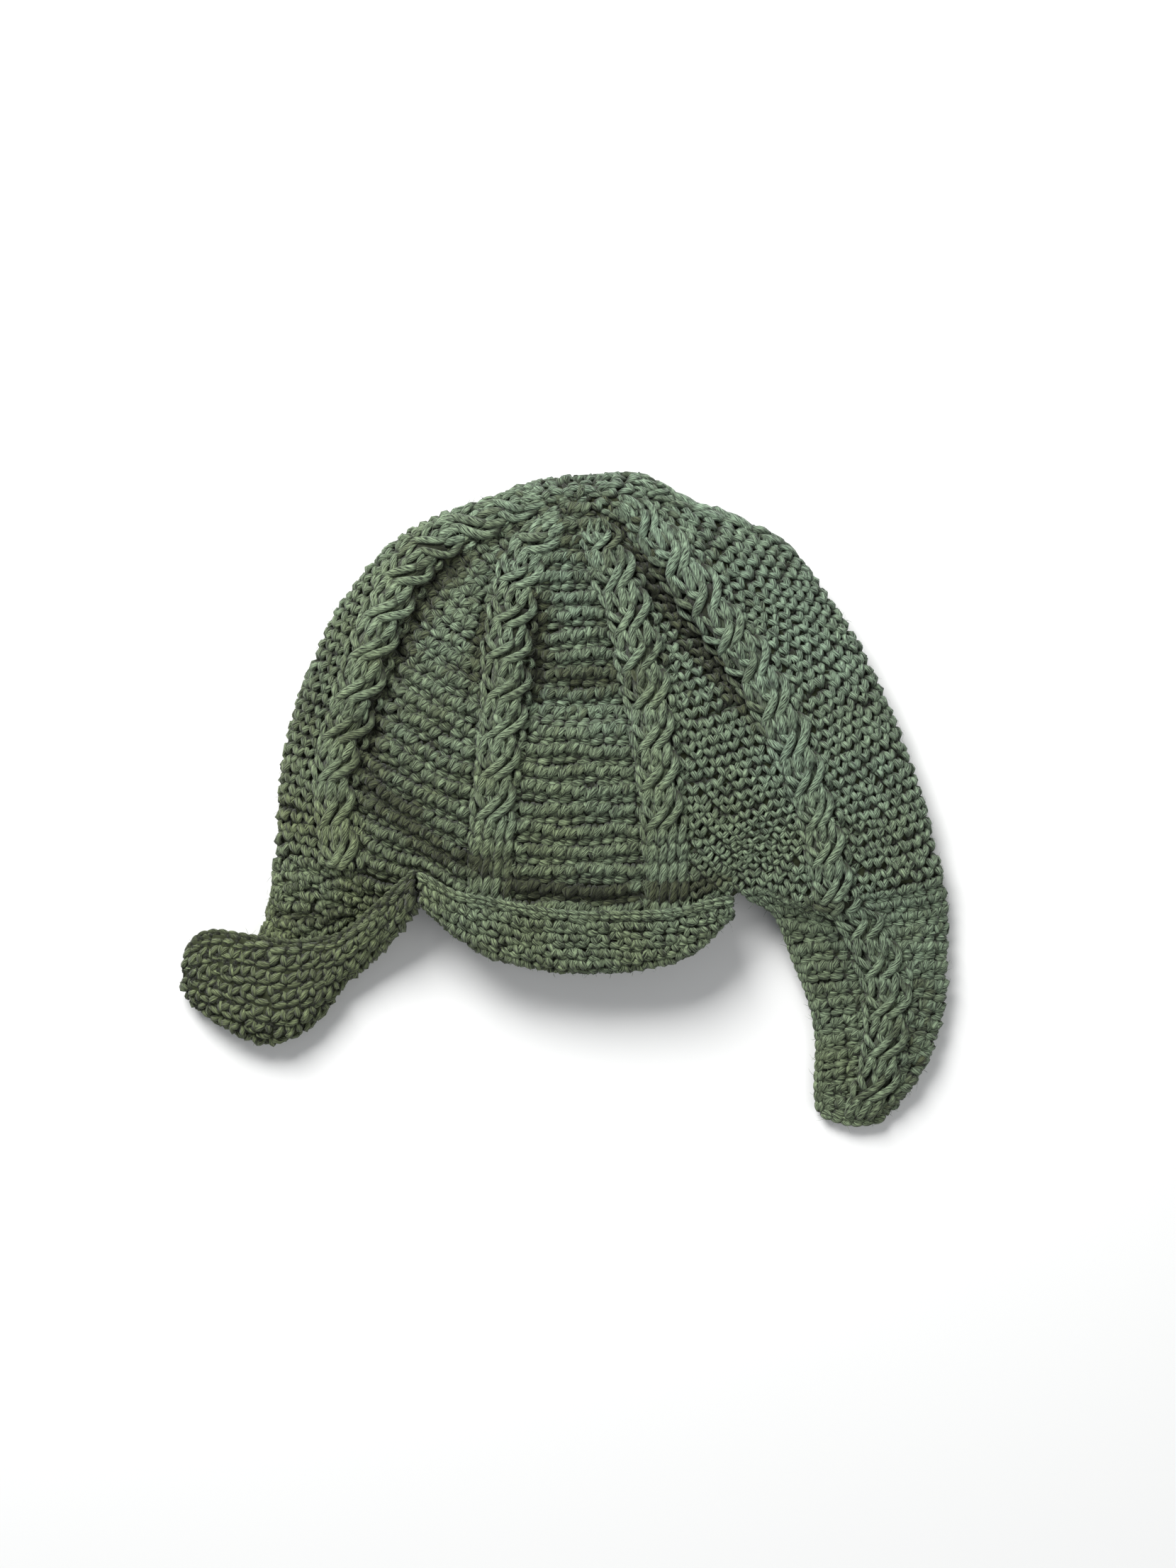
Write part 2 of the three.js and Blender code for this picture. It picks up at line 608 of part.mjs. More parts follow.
// The place of a rim corner, counted in the flap's own four lines: 0 edge, 1 ridge, 2 side, 3 under.
function rightLineOf(place) {
  let low = 0;
  let high = RIGHT_FLAP_RIM.length - 1;
  for (let k = 0; k < 40; k++) {
    const half = (low + high) / 2;
    if (rightRimPlace(half) < place) low = half;
    else high = half;
  }
  return high;
}
const rightPlaces = placesAlongRim(RIGHT_FLAP_RIM[0], RIGHT_FLAP_RIM[RIGHT_FLAP_RIM.length - 1]);
const rightLines = rightPlaces.map(rightLineOf);
const rightMiddle = steps(RIGHT_ROWS).map((t) =>
  rightLines.map((p, i) => (t ? onTable(rightPoint(p, t)) : rimFrame(rightPlaces[i]).sewn)),
);
const rightSewnOut = rightPlaces.map((place) => rimFrame(place).out);
addPiece("earflap_right", clothGeometry(rightMiddle, rightSewnOut), yarn);

const rightNormals = gridNormals(rightMiddle, false);
rightNormals[0] = rightSewnOut;
const rightOuter = offsetGrid(rightMiddle, rightNormals, WALL / 2);
const ridge = rightPlaces.findIndex((place) => Math.abs(place - RIGHT_FLAP_RIM[1]) < 1e-6);
const rightCableColumns = [ridge - 2, ridge, ridge + 2];
addPiece(
  "earflap_cable_right",
  barGeometry(
    rightOuter.slice(0, -1).map((row, j) =>
      cableRing(
        rightCableColumns.map((i) => row[i]),
        rightCableColumns.map((i) => rightNormals[j][i]),
        FLAP_CABLE_HEIGHT,
      ),
    ),
  ),
  cableYarn,
);

// Edgings: a round of chain stitches along the free edges that show.
function edgeLine(grid, pick) {
  const normals = gridNormals(grid, false);
  return pick.map(([j, i, jIn, iIn]) => ({
    point: grid[j][i],
    out: grid[j][i].clone().sub(grid[jIn][iIn]).normalize(),
    up: normals[j][i],
  }));
}
const peakLast = peakMiddle.length - 1;
addPiece(
  "edging_peak",
  edgingGeometry(edgeLine(peakMiddle, peakMiddle[0].map((_, i) => [peakLast, i, peakLast - 1, i]))),
  edgingYarn,
);
const leftLast = leftMiddle.length - 1;
addPiece(
  "edging_left",
  edgingGeometry(edgeLine(leftMiddle, leftMiddle[0].map((_, i) => [leftLast, i, leftLast - 1, i]))),
  edgingYarn,
);
addPiece(
  "edging_right",
  edgingGeometry(
    edgeLine(rightMiddle, [
      ...rightMiddle.slice(1, -1).map((_, j) => [j + 1, 0, j + 1, 1]),
      ...rightPlaces.slice(0, ridge + 4).map((_, i) => [RIGHT_ROWS, i, RIGHT_ROWS - 1, i]),
    ]),
  ),
  edgingYarn,
);

// The frame's origin is the middle of the bounding box, on the table.
const bounds = new THREE.Box3().setFromObject(hat, true);
hat.position.set(-(bounds.min.x + bounds.max.x) / 2, -(bounds.min.y + bounds.max.y) / 2, -bounds.min.z);

export default hat;
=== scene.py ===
"""A crocheted earflap hat lying on its back, dressed in yarn around its plain solids.

Every surface of the solids is repeated here as a grid, and real strands of yarn lie on it: fans of legs
with bars, or a lattice of legs, for the cloth, crossed posts for the cables, and chain stitches for the
edgings. Lengths in this file are millimetres; meshes are made in metres.
"""
import math

import bpy
import numpy as np
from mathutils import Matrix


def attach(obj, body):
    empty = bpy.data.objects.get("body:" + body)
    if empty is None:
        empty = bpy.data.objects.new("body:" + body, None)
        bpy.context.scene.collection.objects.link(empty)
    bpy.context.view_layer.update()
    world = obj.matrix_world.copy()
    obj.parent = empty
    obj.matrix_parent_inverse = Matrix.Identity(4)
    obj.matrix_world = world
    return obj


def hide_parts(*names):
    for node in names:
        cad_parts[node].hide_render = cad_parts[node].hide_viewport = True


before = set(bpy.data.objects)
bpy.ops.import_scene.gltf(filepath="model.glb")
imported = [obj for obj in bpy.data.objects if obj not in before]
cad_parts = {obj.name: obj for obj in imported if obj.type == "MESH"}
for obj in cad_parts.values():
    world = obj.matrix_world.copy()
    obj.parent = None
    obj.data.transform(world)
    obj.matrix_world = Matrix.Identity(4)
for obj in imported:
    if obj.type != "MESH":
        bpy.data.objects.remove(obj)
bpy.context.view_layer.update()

MM = 0.001
SHIFT = np.array([0.36, 0.559, 0.0])  # from the tables' coordinates to the frame's

WALL = 4.0
GAP = 0.3
CABLES = 8
CABLE_WIDTH = 18.0
WIDEST_HALF = 0.4  # the most that half a cable takes of its panel, near the centre
FRONT_CABLES = 4

random = np.random.default_rng(7)
scene = bpy.context.scene

# The crown's sections from its centre to its rim: where the two side folds and the four front cables
# lie in plan, how far the back reaches, and how high the top, the folds and the back are.
SECTION_COLUMNS = "at leftX leftY aX aY bX bY cX cY dX dY rightX rightY backY topZ foldZ backZ"
SECTIONS = [
    [0.0, 7, 130, 7, 130, 7, 130, 7, 130, 7, 130, 7, 130, 130, 26, 26, 26],
    [0.08, -13, 131, -9, 126, -2, 117, 14, 117, 24, 124, 31, 134.5, 136, 30.5, 21, 12],
    [0.17, -32, 125.5, -28, 120, -15, 103, 18, 103, 38, 112, 47, 126.5, 116, 33, 17, 5.5],
    [0.33, -66, 111.5, -58, 104, -22, 73, 29, 72, 61, 80, 88.5, 109, 82, 35, 14, 4.4],
    [0.5, -92.2, 82.5, -76, 75, -25, 42, 36, 39, 81, 52, 113.6, 80, 50, 35, 13, 4.4],
    [0.67, -108.4, 49, -88, 41, -28, 9, 40, 5, 97, 19, 133.6, 43, 18, 32, 12, 4.4],
    [0.83, -118, 15, -96, 9, -31, -24, 42, -26, 107, -10, 148, 7, -11, 28, 11, 4.4],
    [1.0, -120.5, -24, -93, -28, -31, -56, 43, -60, 114, -42, 158.5, -32, -35, 23, 10, 4.4],
]
TOP_POWER = (2, 3)  # how full the upper half of a section is, at the centre and at the rim
BACK_POWER = (2, 12)  # the lower half lies flat on the table
NOTCHES = [(77, 17, 18), (-59, 7, 13)]  # x, rise and reach of the rim's rises beside the earflaps
PANEL_DIPS = {0: (5, 0.7), 1: (4, 0.8), 2: (5, 1.6), 3: (2, 1), 7: (1.5, 1)}  # depth and skew
DIP_AT, DIP_REACH = 0.4, 0.3
CREASE_PANEL, CREASE_AT, CREASE_ABOVE, CREASE_BELOW, CREASE_DEPTH = 1, 0.5, 0.13, 0.03, 5
# The folds along a panel's edges: panel, beside its left cable (0) or its right one (1), the level of the
# crown, the reach along it and the depth.
VALLEYS = [
    [0, 0, 0.62, 0.28, 7],
    [0, 1, 0.34, 0.14, 6],
    [1, 0, 0.42, 0.15, 6],
    [1, 1, 0.38, 0.14, 5],
    [2, 0, 0.3, 0.14, 3],
    [2, 1, 0.33, 0.2, 9],
    [3, 0, 0.3, 0.2, 3],
    [7, 1, 0.5, 0.3, 3],
]
VALLEY_FROM_CABLE = 12.5
VALLEY_REACH = 5
BACK_SAG = 2
RING_STEPS = 576

PEAK_TURN_RADIUS = 3.8
PEAK_COLUMNS = "at past back"
PEAK_SECTIONS = [
    [0.52, 0.8, 9],
    [0.77, 1, 13],
    [1.0, 3.2, 18.5],
    [1.5, 6, 20],
    [2.0, 3.2, 17],
    [2.2, 1.5, 12],
    [2.4, 0.6, 2.5],
]
LEFT_TURN_COLUMNS = "foldX foldY foldZ radius lipX lipY lipZ"
LEFT_FLAP_SECTIONS = [  # the place round the rim, then the turn
    [0.49, -62.5, -43, 25, 3.4, -62.5, -31, 29.5],
    [0.36, -73, -57, 17, 4.6, -73, -40.5, 27.5],
    [0.2, -81, -65, 12, 5.4, -80, -46.5, 24],
    [0.0, -94, -76, 9, 6, -93, -57, 18],
    [-0.2, -107, -93, 8.5, 6, -106, -60.5, 16],
    [-0.34, -119, -101, 8.2, 6, -119, -61, 15.5],
    [-0.42, -129, -101.5, 8.2, 6, -129, -59.5, 15.5],
]
LEFT_TIP_SECTIONS = [  # the end as x, y, z, then the turn
    [-121.5, -41, 5, -139, -98, 8.2, 6, -139, -58, 15.5],
    [-125, -55, 3, -147.5, -92.5, 8, 5.8, -147.5, -56.8, 15],
    [-139, -63, 2.4, -156.5, -86.5, 7.6, 5.3, -155.5, -59, 14],
    [-153, -67, 3.6, -161.2, -78.5, 7, 3.6, -160.7, -65, 11.5],
]
RIGHT_FLAP_RIM = [2.49, 3, 3.6, 3.82]
RIGHT_FLAP_SECTIONS = [  # edge, ridge, side and under, each as x, y, z
    [90, -47, 16, 123.5, -50, 16, 159.6, -48, 9, 158, -47, 3.2],
    [98.5, -66, 10, 131, -66, 13, 160.3, -66, 8.5, 158, -66, 2.6],
    [106.5, -86, 6, 135.5, -83, 11, 159.5, -86, 8, 157, -86, 2.4],
    [109.5, -103, 4, 134.5, -100, 10, 154.7, -105, 8, 152, -105, 2.4],
    [109, -120, 3.2, 132, -117.5, 8, 146.2, -122.5, 6.5, 143, -121.5, 2.4],
    [109.5, -132.5, 3, 124.4, -136, 4.6, 137, -133.5, 4.2, 134.5, -132, 2.4],
]

# Where folds and neighbours keep light off the yarn, seen from above: the middle of each shade, its half
# length and half width, the angle of its length, and how dark it is.
SHADES = [  # x, y, length, width, angle, dark
    [53, 71, 52, 5, -54, 0.68],
    [-69, -6, 24, 7, -44, 0.45],
    [-81, 30, 18, 5.5, 81, 0.38],
    [-52, 93, 16, 6.5, 44, 0.52],
    [-66, 68, 18, 5.5, 62, 0.36],
    [-33, 62, 18, 4.5, 90, 0.42],
    [-12, 68, 22, 4.5, 90, 0.5],
    [8, 51, 20, 5.5, 0, 0.34],
    [30, 48, 10, 4, 90, 0.34],
    [-59, 30, 40, 24, 75, 0.1],
    [62, 30, 40, 20, 110, 0.08],
    [-35, -29, 23, 4, -20, 0.6],
    [6, -39, 24, 4, -5, 0.65],
    [50, -37, 25, 4, 10, 0.6],
    [-105, -76, 15, 11, 30, 0.12],
    [-107, -50, 14, 4.5, 8, 0.45],
    [-64, -38, 9, 6, 40, 0.42],
    [-84, -33, 7, 6, 0, 0.28],
    [109, -44, 8, 7, 0, 0.25],
    [149, -94, 24, 10, 80, 0.2],
    [137, -126, 12, 10, 0, 0.18],
    [-120, 40, 45, 18, 68, 0.14],
    [-106, 18, 45, 16, 84, 0.17],
    [40, 105, 70, 26, -20, 0.16],
    [-5, 116, 45, 20, 5, 0.14],
]

# Stitches and the cloth behind them
STITCH_WIDTH = 5.3
CROWN_ROWS = 24
ROW_HEIGHT = 8.1
STITCH_BASE = -1.2  # where a stitch's heights are counted from, above the wall's middle
BACKING = (-0.7, -1.1)  # the cloth's top and bottom above the wall's middle
CLOTH_LOWEST = 0.2
USUAL_TONE = 0.72


# Curves

FINE = np.linspace(0, 1, 60)


def mix(a, b, t):
    return a + (b - a) * t


def smooth(low, high, x):
    t = np.clip((x - low) / (high - low), 0, 1)
    return t * t * (3 - 2 * t)


def bell(x):
    return np.exp(-x * x)


def curve_through(xs, ys):
    """A smooth curve through points, with the slopes that a Catmull-Rom curve has."""
    xs = np.asarray(xs, float)
    ys = np.asarray(ys, float)
    number = np.arange(len(xs))
    before = np.maximum(number - 1, 0)
    after = np.minimum(number + 1, len(xs) - 1)
    slope = (ys[after] - ys[before]) / (xs[after] - xs[before])

    def at(x):
        x = np.asarray(x, float)
        i = np.clip(np.searchsorted(xs, x, side="right") - 1, 0, len(xs) - 2)
        step = xs[i + 1] - xs[i]
        t = (x - xs[i]) / step
        return (
            ys[i] * (1 + 2 * t) * (1 - t) ** 2
            + slope[i] * step * t * (1 - t) ** 2
            + ys[i + 1] * t * t * (3 - 2 * t)
            + slope[i + 1] * step * t * t * (t - 1)
        )

    return at


SPLINE_POINTS = 121


def between(columns, rows, key=None):
    """A function that gives a table's row, as a dict, at any place between its rows."""
    names = columns.split()
    rows = np.asarray(rows, float)
    places = rows[:, names.index(key)] if key else np.arange(len(rows))
    curves = {name: curve_through(places, rows[:, i]) for i, name in enumerate(names) if name != key}
    return lambda at: {name: curve(at) for name, curve in curves.items()}


def spline(points, count=None):
    """A centripetal Catmull-Rom curve through a few points, evenly parted where a count is given."""
    points = np.asarray(points, float)
    whole = np.concatenate([[2 * points[0] - points[1]], points, [2 * points[-1] - points[-2]]])
    share = np.linspace(0, len(points) - 1, SPLINE_POINTS)
    span = np.minimum(share.astype(int), len(points) - 2)
    t = (share - span)[:, None]
    p0, p1, p2, p3 = (whole[span + i] for i in range(4))
    d0, d1, d2 = (np.linalg.norm(b - a, axis=1)[:, None] ** 0.5 for a, b in ((p0, p1), (p1, p2), (p2, p3)))
    t1 = ((p1 - p0) / d0 - (p2 - p0) / (d0 + d1) + (p2 - p1) / d1) * d1
    t2 = ((p2 - p1) / d1 - (p3 - p1) / (d1 + d2) + (p3 - p2) / d2) * d1
    curve = p1 + t1 * t + (3 * (p2 - p1) - 2 * t1 - t2) * t ** 2 + (2 * (p1 - p2) + t1 + t2) * t ** 3
    return evenly(curve, count) if count else curve


def lengths_along(points, axis=0):
    """The distance along rows of points, from 0 at the first."""
    steps = np.linalg.norm(np.diff(points, axis=axis), axis=-1)
    start = np.zeros_like(np.take(steps, [0], axis=axis))
    return np.concatenate([start, np.cumsum(steps, axis=axis)], axis=axis)


def read_line(wanted, along, line):
    """Points of a line at wanted places, where along holds the places of its own points."""
    return np.stack([np.interp(wanted, along, line[:, i]) for i in range(3)], axis=1)


def evenly(curve, count):
    along = lengths_along(curve)
    return read_line(np.linspace(0, along[-1], count), along, curve)


# Surfaces

def unit(vectors):
    return vectors / np.maximum(np.linalg.norm(vectors, axis=-1, keepdims=True), 1e-9)


class Surface:
    """A grid of points with normals. Rows go away from the crown, columns go round it.

    side is 1 for stitches on the face that is outside on the crown, and -1 for the other face."""

    def __init__(self, points, closed=False):
        self.points = points
        self.closed = closed
        down = np.gradient(points, axis=0)
        if closed:
            across = np.roll(points[:, :-1], -1, axis=1) - np.roll(points[:, :-1], 1, axis=1)
            across = np.concatenate([across, across[:, :1]], axis=1)
        else:
            across = np.gradient(points, axis=1)
        self.normals = unit(np.cross(down, across))

    def frame(self, row, column):
        """Points and normals at fractional rows and columns, both from 0 to 1."""
        rows, columns = self.points.shape[:2]
        row = np.clip(row, 0, 1) * (rows - 1)
        column = (np.mod(column, 1) if self.closed else np.clip(column, 0, 1)) * (columns - 1)
        i = np.minimum(row.astype(int), rows - 2)
        j = np.minimum(column.astype(int), columns - 2)
        s = (row - i)[..., None]
        t = (column - j)[..., None]

        def read(grid):
            upper = mix(grid[i, j], grid[i, j + 1], t)
            lower = mix(grid[i + 1, j], grid[i + 1, j + 1], t)
            return mix(upper, lower, s)

        return read(self.points), unit(read(self.normals))

    def at(self, row, column, height, side=1):
        point, normal = self.frame(row, column)
        return point + normal * (side * height)[..., None], normal * side


class Ring:
    """One closed section of the crown, with the place of each cable by distance along it."""

    def __init__(self, v):
        s = SECTION_AT(v)
        middle = (s["leftX"] + s["rightX"]) / 2
        half = (s["rightX"] - s["leftX"]) / 2
        top_power = mix(*TOP_POWER, smooth(0, 0.5, v))
        back_power = mix(*BACK_POWER, smooth(0.05, 0.4, v))
        share = np.clip((np.array([s[name] for name in ("aX", "bX", "cX", "dX")]) - middle) / half, -1, 1)
        front = np.arccos(-np.sign(share) * np.abs(share) ** (top_power / 2))
        names = "backY leftY aY bY cY dY rightY backY leftY"
        stops = [-math.pi / 2, 0, *front, math.pi, math.pi * 1.5, math.pi * 2]
        row_line = curve_through(stops, [s[name] for name in names.split()])
        angle = np.linspace(0, math.pi * 2, RING_STEPS + 1)
        self.up = np.sin(angle)
        across = -np.cos(angle)
        power = np.where(self.up >= 0, top_power, back_power)
        x = middle + half * np.sign(across) * np.abs(across) ** (2 / power)
        height = np.where(self.up >= 0, s["topZ"] - s["foldZ"], s["foldZ"] - s["backZ"])
        rise = sum(rise * bell((x - at) / reach) for at, rise, reach in NOTCHES)
        lift = np.where(self.up > 0, rise * smooth(0.75, 1, v) * np.minimum(1, self.up * 3), 0)
        self.points = np.stack([x, row_line(angle) + lift, s["foldZ"] + height * self.up], axis=1)
        self.along = lengths_along(self.points)
        self.whole = self.along[-1]
        marks = list(np.interp(front, angle, self.along))
        back_pitch = (marks[0] + self.whole - marks[-1]) / (CABLES - FRONT_CABLES + 1)
        while len(marks) < CABLES:
            marks.append(marks[-1] + back_pitch)
        self.marks = np.array([*marks, marks[0] + self.whole])

    def read(self, places, v):
        local = np.mod(places, CABLES)
        length = np.mod(np.interp(local, np.arange(CABLES + 1), self.marks), self.whole)
        point = read_line(length, self.along, self.points)
        upper = np.interp(length, self.along, self.up)
        point[:, 2] += relief(local, v, upper, np.diff(self.marks))
        return point


def valley(side, at, reach, depth, across, v, pitch):
    """How deep one of the folds beside the cables is at a place of its panel."""
    from_cable = (1 - across if side else across) * pitch
    return depth * bell((from_cable - VALLEY_FROM_CABLE) / VALLEY_REACH) * bell((v - at) / reach)


def relief(place, v, upper, pitches):
    """How far the crown's cloth lies from the plain section: dips, the tuck, and the back's sag."""
    panel = np.minimum(place.astype(int), CABLES - 1)
    across = place - panel
    depth_along = bell((v - DIP_AT) / DIP_REACH) * smooth(0, 0.12, v)
    hump = np.minimum(1, np.sin(math.pi * across) * 1.5)
    back = -BACK_SAG * hump * np.minimum(1, -upper * 3) * smooth(0.2, 0.35, v)
    front = np.zeros_like(place)
    for number, (depth, skew) in PANEL_DIPS.items():
        dip = depth * np.sin(math.pi * across ** skew) ** 2 * depth_along
        front -= np.where(panel == number, dip, 0)
    for number, *fold in VALLEYS:
        front -= np.where(panel == number, valley(*fold, across, v, pitches[number]), 0)
    reach = CREASE_ABOVE if v < CREASE_AT else CREASE_BELOW
    tuck = CREASE_DEPTH * np.sin(math.pi * across) * bell((v - CREASE_AT) / reach)
    front -= np.where(panel == CREASE_PANEL, tuck, 0)
    return np.where(upper <= 0, back, front * np.minimum(1, upper * 1.5))


SECTION_AT = between(SECTION_COLUMNS, SECTIONS, "at")
LEVELS_A_ROW = 6
PLACES_A_PANEL = 48
CROWN_LEVELS = np.linspace(0, 1, CROWN_ROWS * LEVELS_A_ROW + 1)
CROWN_PLACES = np.linspace(0, CABLES, CABLES * PLACES_A_PANEL + 1)
CROWN_RINGS = [Ring(max(v, 0.004)) for v in CROWN_LEVELS]
PITCH = np.array([np.diff(ring.marks) for ring in CROWN_RINGS])  # between two cables, at each level


def crown_surface():
    grid = np.stack([ring.read(CROWN_PLACES, v) for ring, v in zip(CROWN_RINGS, CROWN_LEVELS)])
    grid[0] = [SECTIONS[0][1], SECTIONS[0][2], SECTIONS[0][-2]]
    surface = Surface(grid, closed=True)
    surface.normals[0] = unit(surface.normals[1].mean(axis=0))
    return surface


crown = crown_surface()


def pitch_at(panel, v):
    """The distance between cables panel and panel + 1 at a level of the crown."""
    row = np.clip(v, 0, 1) * (len(CROWN_LEVELS) - 1)
    i = np.minimum(row.astype(int), len(CROWN_LEVELS) - 2)
    panel = np.mod(panel, CABLES)
    return mix(PITCH[i, panel], PITCH[i + 1, panel], row - i)


def cable_half(panel, v):
    """Half of a cable's width, counted in cables round the crown, on the side towards a panel."""
    return np.minimum(CABLE_WIDTH / 2 / pitch_at(panel, v), WIDEST_HALF)


def rim_frame(places):
    """Just past the rim: points, the way the cloth goes on there, and the way out."""
    column = np.asarray(places, float) / CABLES
    rim, out = crown.frame(np.ones_like(column), column)
    above, _ = crown.frame(np.full_like(column, 1 - 1 / CROWN_ROWS), column)
    down = unit(rim - above)
    return rim + down * GAP, down, out


def even_columns(grid, count):
    """The same surface with its columns evenly far apart on the whole."""
    along = lengths_along(grid, axis=1)
    mean = (along / along[:, -1:]).mean(axis=0)
    wanted = np.interp(np.linspace(0, 1, count), mean, np.arange(grid.shape[1]))
    i = np.minimum(wanted.astype(int), grid.shape[1] - 2)
    return mix(grid[:, i], grid[:, i + 1], (wanted - i)[None, :, None])


def peak_surface():
    section_at = between(PEAK_COLUMNS, PEAK_SECTIONS, "at")
    places = np.linspace(PEAK_SECTIONS[0][0], PEAK_SECTIONS[-1][0], 121)
    section = section_at(places)
    sewn, down, out = rim_frame(places)
    radius = PEAK_TURN_RADIUS
    turn = np.linspace(0, math.pi, 13)
    back_share = np.linspace(0, 1, 9)[1:]
    up = np.concatenate([[0], radius * (1 - np.cos(turn)), np.full_like(back_share, radius * 2)])
    columns = []
    for i in range(len(places)):
        past, back = section["past"][i], section["back"][i]
        along = np.concatenate([[0], past + radius * np.sin(turn), past - back * back_share])
        curve = sewn[i] + along[:, None] * down[i] + up[:, None] * out[i]
        columns.append(evenly(curve, 31))
    return Surface(even_columns(np.stack(columns, axis=1), 161))


def left_flap_surface():
    places = np.array([row[0] for row in LEFT_FLAP_SECTIONS])
    last = len(places) - 1
    turn_rows = [row[1:] for row in LEFT_FLAP_SECTIONS] + [row[3:] for row in LEFT_TIP_SECTIONS]
    turn_at = between(LEFT_TURN_COLUMNS, turn_rows)
    place_at = curve_through(np.arange(last + 1), places)
    sewn_q = np.linspace(0, last, 49)
    sewn, _, _ = rim_frame(place_at(sewn_q))
    free = spline([sewn[-1]] + [row[:3] for row in LEFT_TIP_SECTIONS])
    share = np.linspace(0, 1, 33)[1:]
    ends = np.concatenate([sewn, read_line(share, np.linspace(0, 1, len(free)), free)])
    turn = turn_at(np.concatenate([sewn_q, last + share * len(LEFT_TIP_SECTIONS)]))
    fold, lip = (np.stack([turn[part + axis] for axis in "XYZ"], axis=1) for part in ("fold", "lip"))
    radius = turn["radius"][:, None]
    inner = fold + unit((lip - fold) * [1, 1, 0]) * radius
    rise = radius * [0, 0, 1]
    lines = np.stack([ends, inner - rise, fold, inner + rise, lip], axis=1)
    grid = np.stack([spline(points, 61) for points in lines], axis=1)
    grid[..., 2] = np.maximum(grid[..., 2], WALL / 2)
    return Surface(even_columns(grid, 97))


def right_flap_surface():
    p = np.linspace(0, 3, 49)
    sewn, _, _ = rim_frame(curve_through(np.arange(4), RIGHT_FLAP_RIM)(p))
    rim_corners, _, _ = rim_frame(RIGHT_FLAP_RIM)
    rows = [list(rim_corners.ravel())] + RIGHT_FLAP_SECTIONS
    names = " ".join(part + axis for part in ("edge", "ridge", "side", "under") for axis in "XYZ")
    section_at = between(names, rows)

    def line(q):
        section = section_at(q)
        values = np.array([section[name] for name in names.split()]).reshape(4, 3)
        curve = spline(values)
        return read_line(p / 3, np.linspace(0, 1, len(curve)), curve)

    first = line(0.0)
    grid = []
    for t in np.linspace(0, 1, 61):
        grid.append(line(t * (len(rows) - 1)) + (sewn - first) * (1 - smooth(0, 0.35, t)))
    grid = np.stack(grid)
    grid[1:, :, 2] = np.maximum(grid[1:, :, 2], WALL / 2)
    return Surface(grid)


peak = peak_surface()
left_flap = left_flap_surface()
right_flap = right_flap_surface()


# Meshes

def make_object(name, points, faces, uv, shade):
    """A mesh object from points in millimetres, arrays with a row for each face, and two maps."""
    mesh = bpy.data.meshes.new(name)
    mesh.vertices.add(len(points))
    mesh.vertices.foreach_set("co", ((points + SHIFT) * MM).astype(np.float32).ravel())
    corners = np.concatenate([block.ravel() for block in faces])
    sizes = np.concatenate([np.full(len(block), block.shape[1]) for block in faces])
    mesh.loops.add(len(corners))
    mesh.loops.foreach_set("vertex_index", corners.astype(np.int32))
    mesh.polygons.add(len(sizes))
    starts = np.concatenate([[0], np.cumsum(sizes)[:-1]])
    mesh.polygons.foreach_set("loop_start", starts.astype(np.int32))
    mesh.polygons.foreach_set("use_smooth", np.ones(len(sizes), bool))
    for layer_name, values in (("Yarn", uv), ("Shade", shade)):
        layer = mesh.uv_layers.new(name=layer_name)
        layer.uv.foreach_set("vector", values.astype(np.float32).ravel())
    mesh.update(calc_edges=True)
    mesh.validate()
    item = bpy.data.objects.new(name, mesh)
    scene.collection.objects.link(item)
    return item


def dress(item, slot, material, *nodes):
    item.data.materials.append(material)
    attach(item, "root")
    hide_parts(*nodes)
    return item


def shade_at(points, ups):
    """How much darker yarn is at places seen from above, from the table of shades."""
    total = np.zeros(len(points))
    for x, y, length, width, angle, dark in SHADES:
        turn = math.radians(angle)
        dx, dy = points[:, 0] - x, points[:, 1] - y
        along = (dx * math.cos(turn) + dy * math.sin(turn)) / length
        aside = (dy * math.cos(turn) - dx * math.sin(turn)) / width
        total += dark * np.exp(-along ** 4 - aside ** 2)
    return total * (ups[:, 2] > 0)


def yarn_tone(count, scatter=0.09, lighter=0.0):
    """How light each of some strands is, from 0 to 1."""
    return np.clip(USUAL_TONE + random.normal(0, scatter, count) + lighter, 0, 1)


def quads(grid):
    """The corners of each cell of a grid, whose rows and columns are its second and third axes."""
    corners = grid[:, :-1, :-1], grid[:, :-1, 1:], grid[:, 1:, 1:], grid[:, 1:, :-1]
    return np.stack(corners, axis=3).reshape(-1, 4, *grid.shape[3:])


HAIR_STEPS = np.array([0, 0.35, 0.7, 1.0])
HAIR_HALF_WIDTH = np.array([0.07, 0.07, 0.05, 0.02])
HAIR_FACES = len(HAIR_STEPS) - 1
HAIR_LENGTHS = (2.0, 5.0)
HAIR_HEIGHTS = (0.1, 0.8)
HAIR_DROP = 0.9
HAIR_LOWEST = 0.1


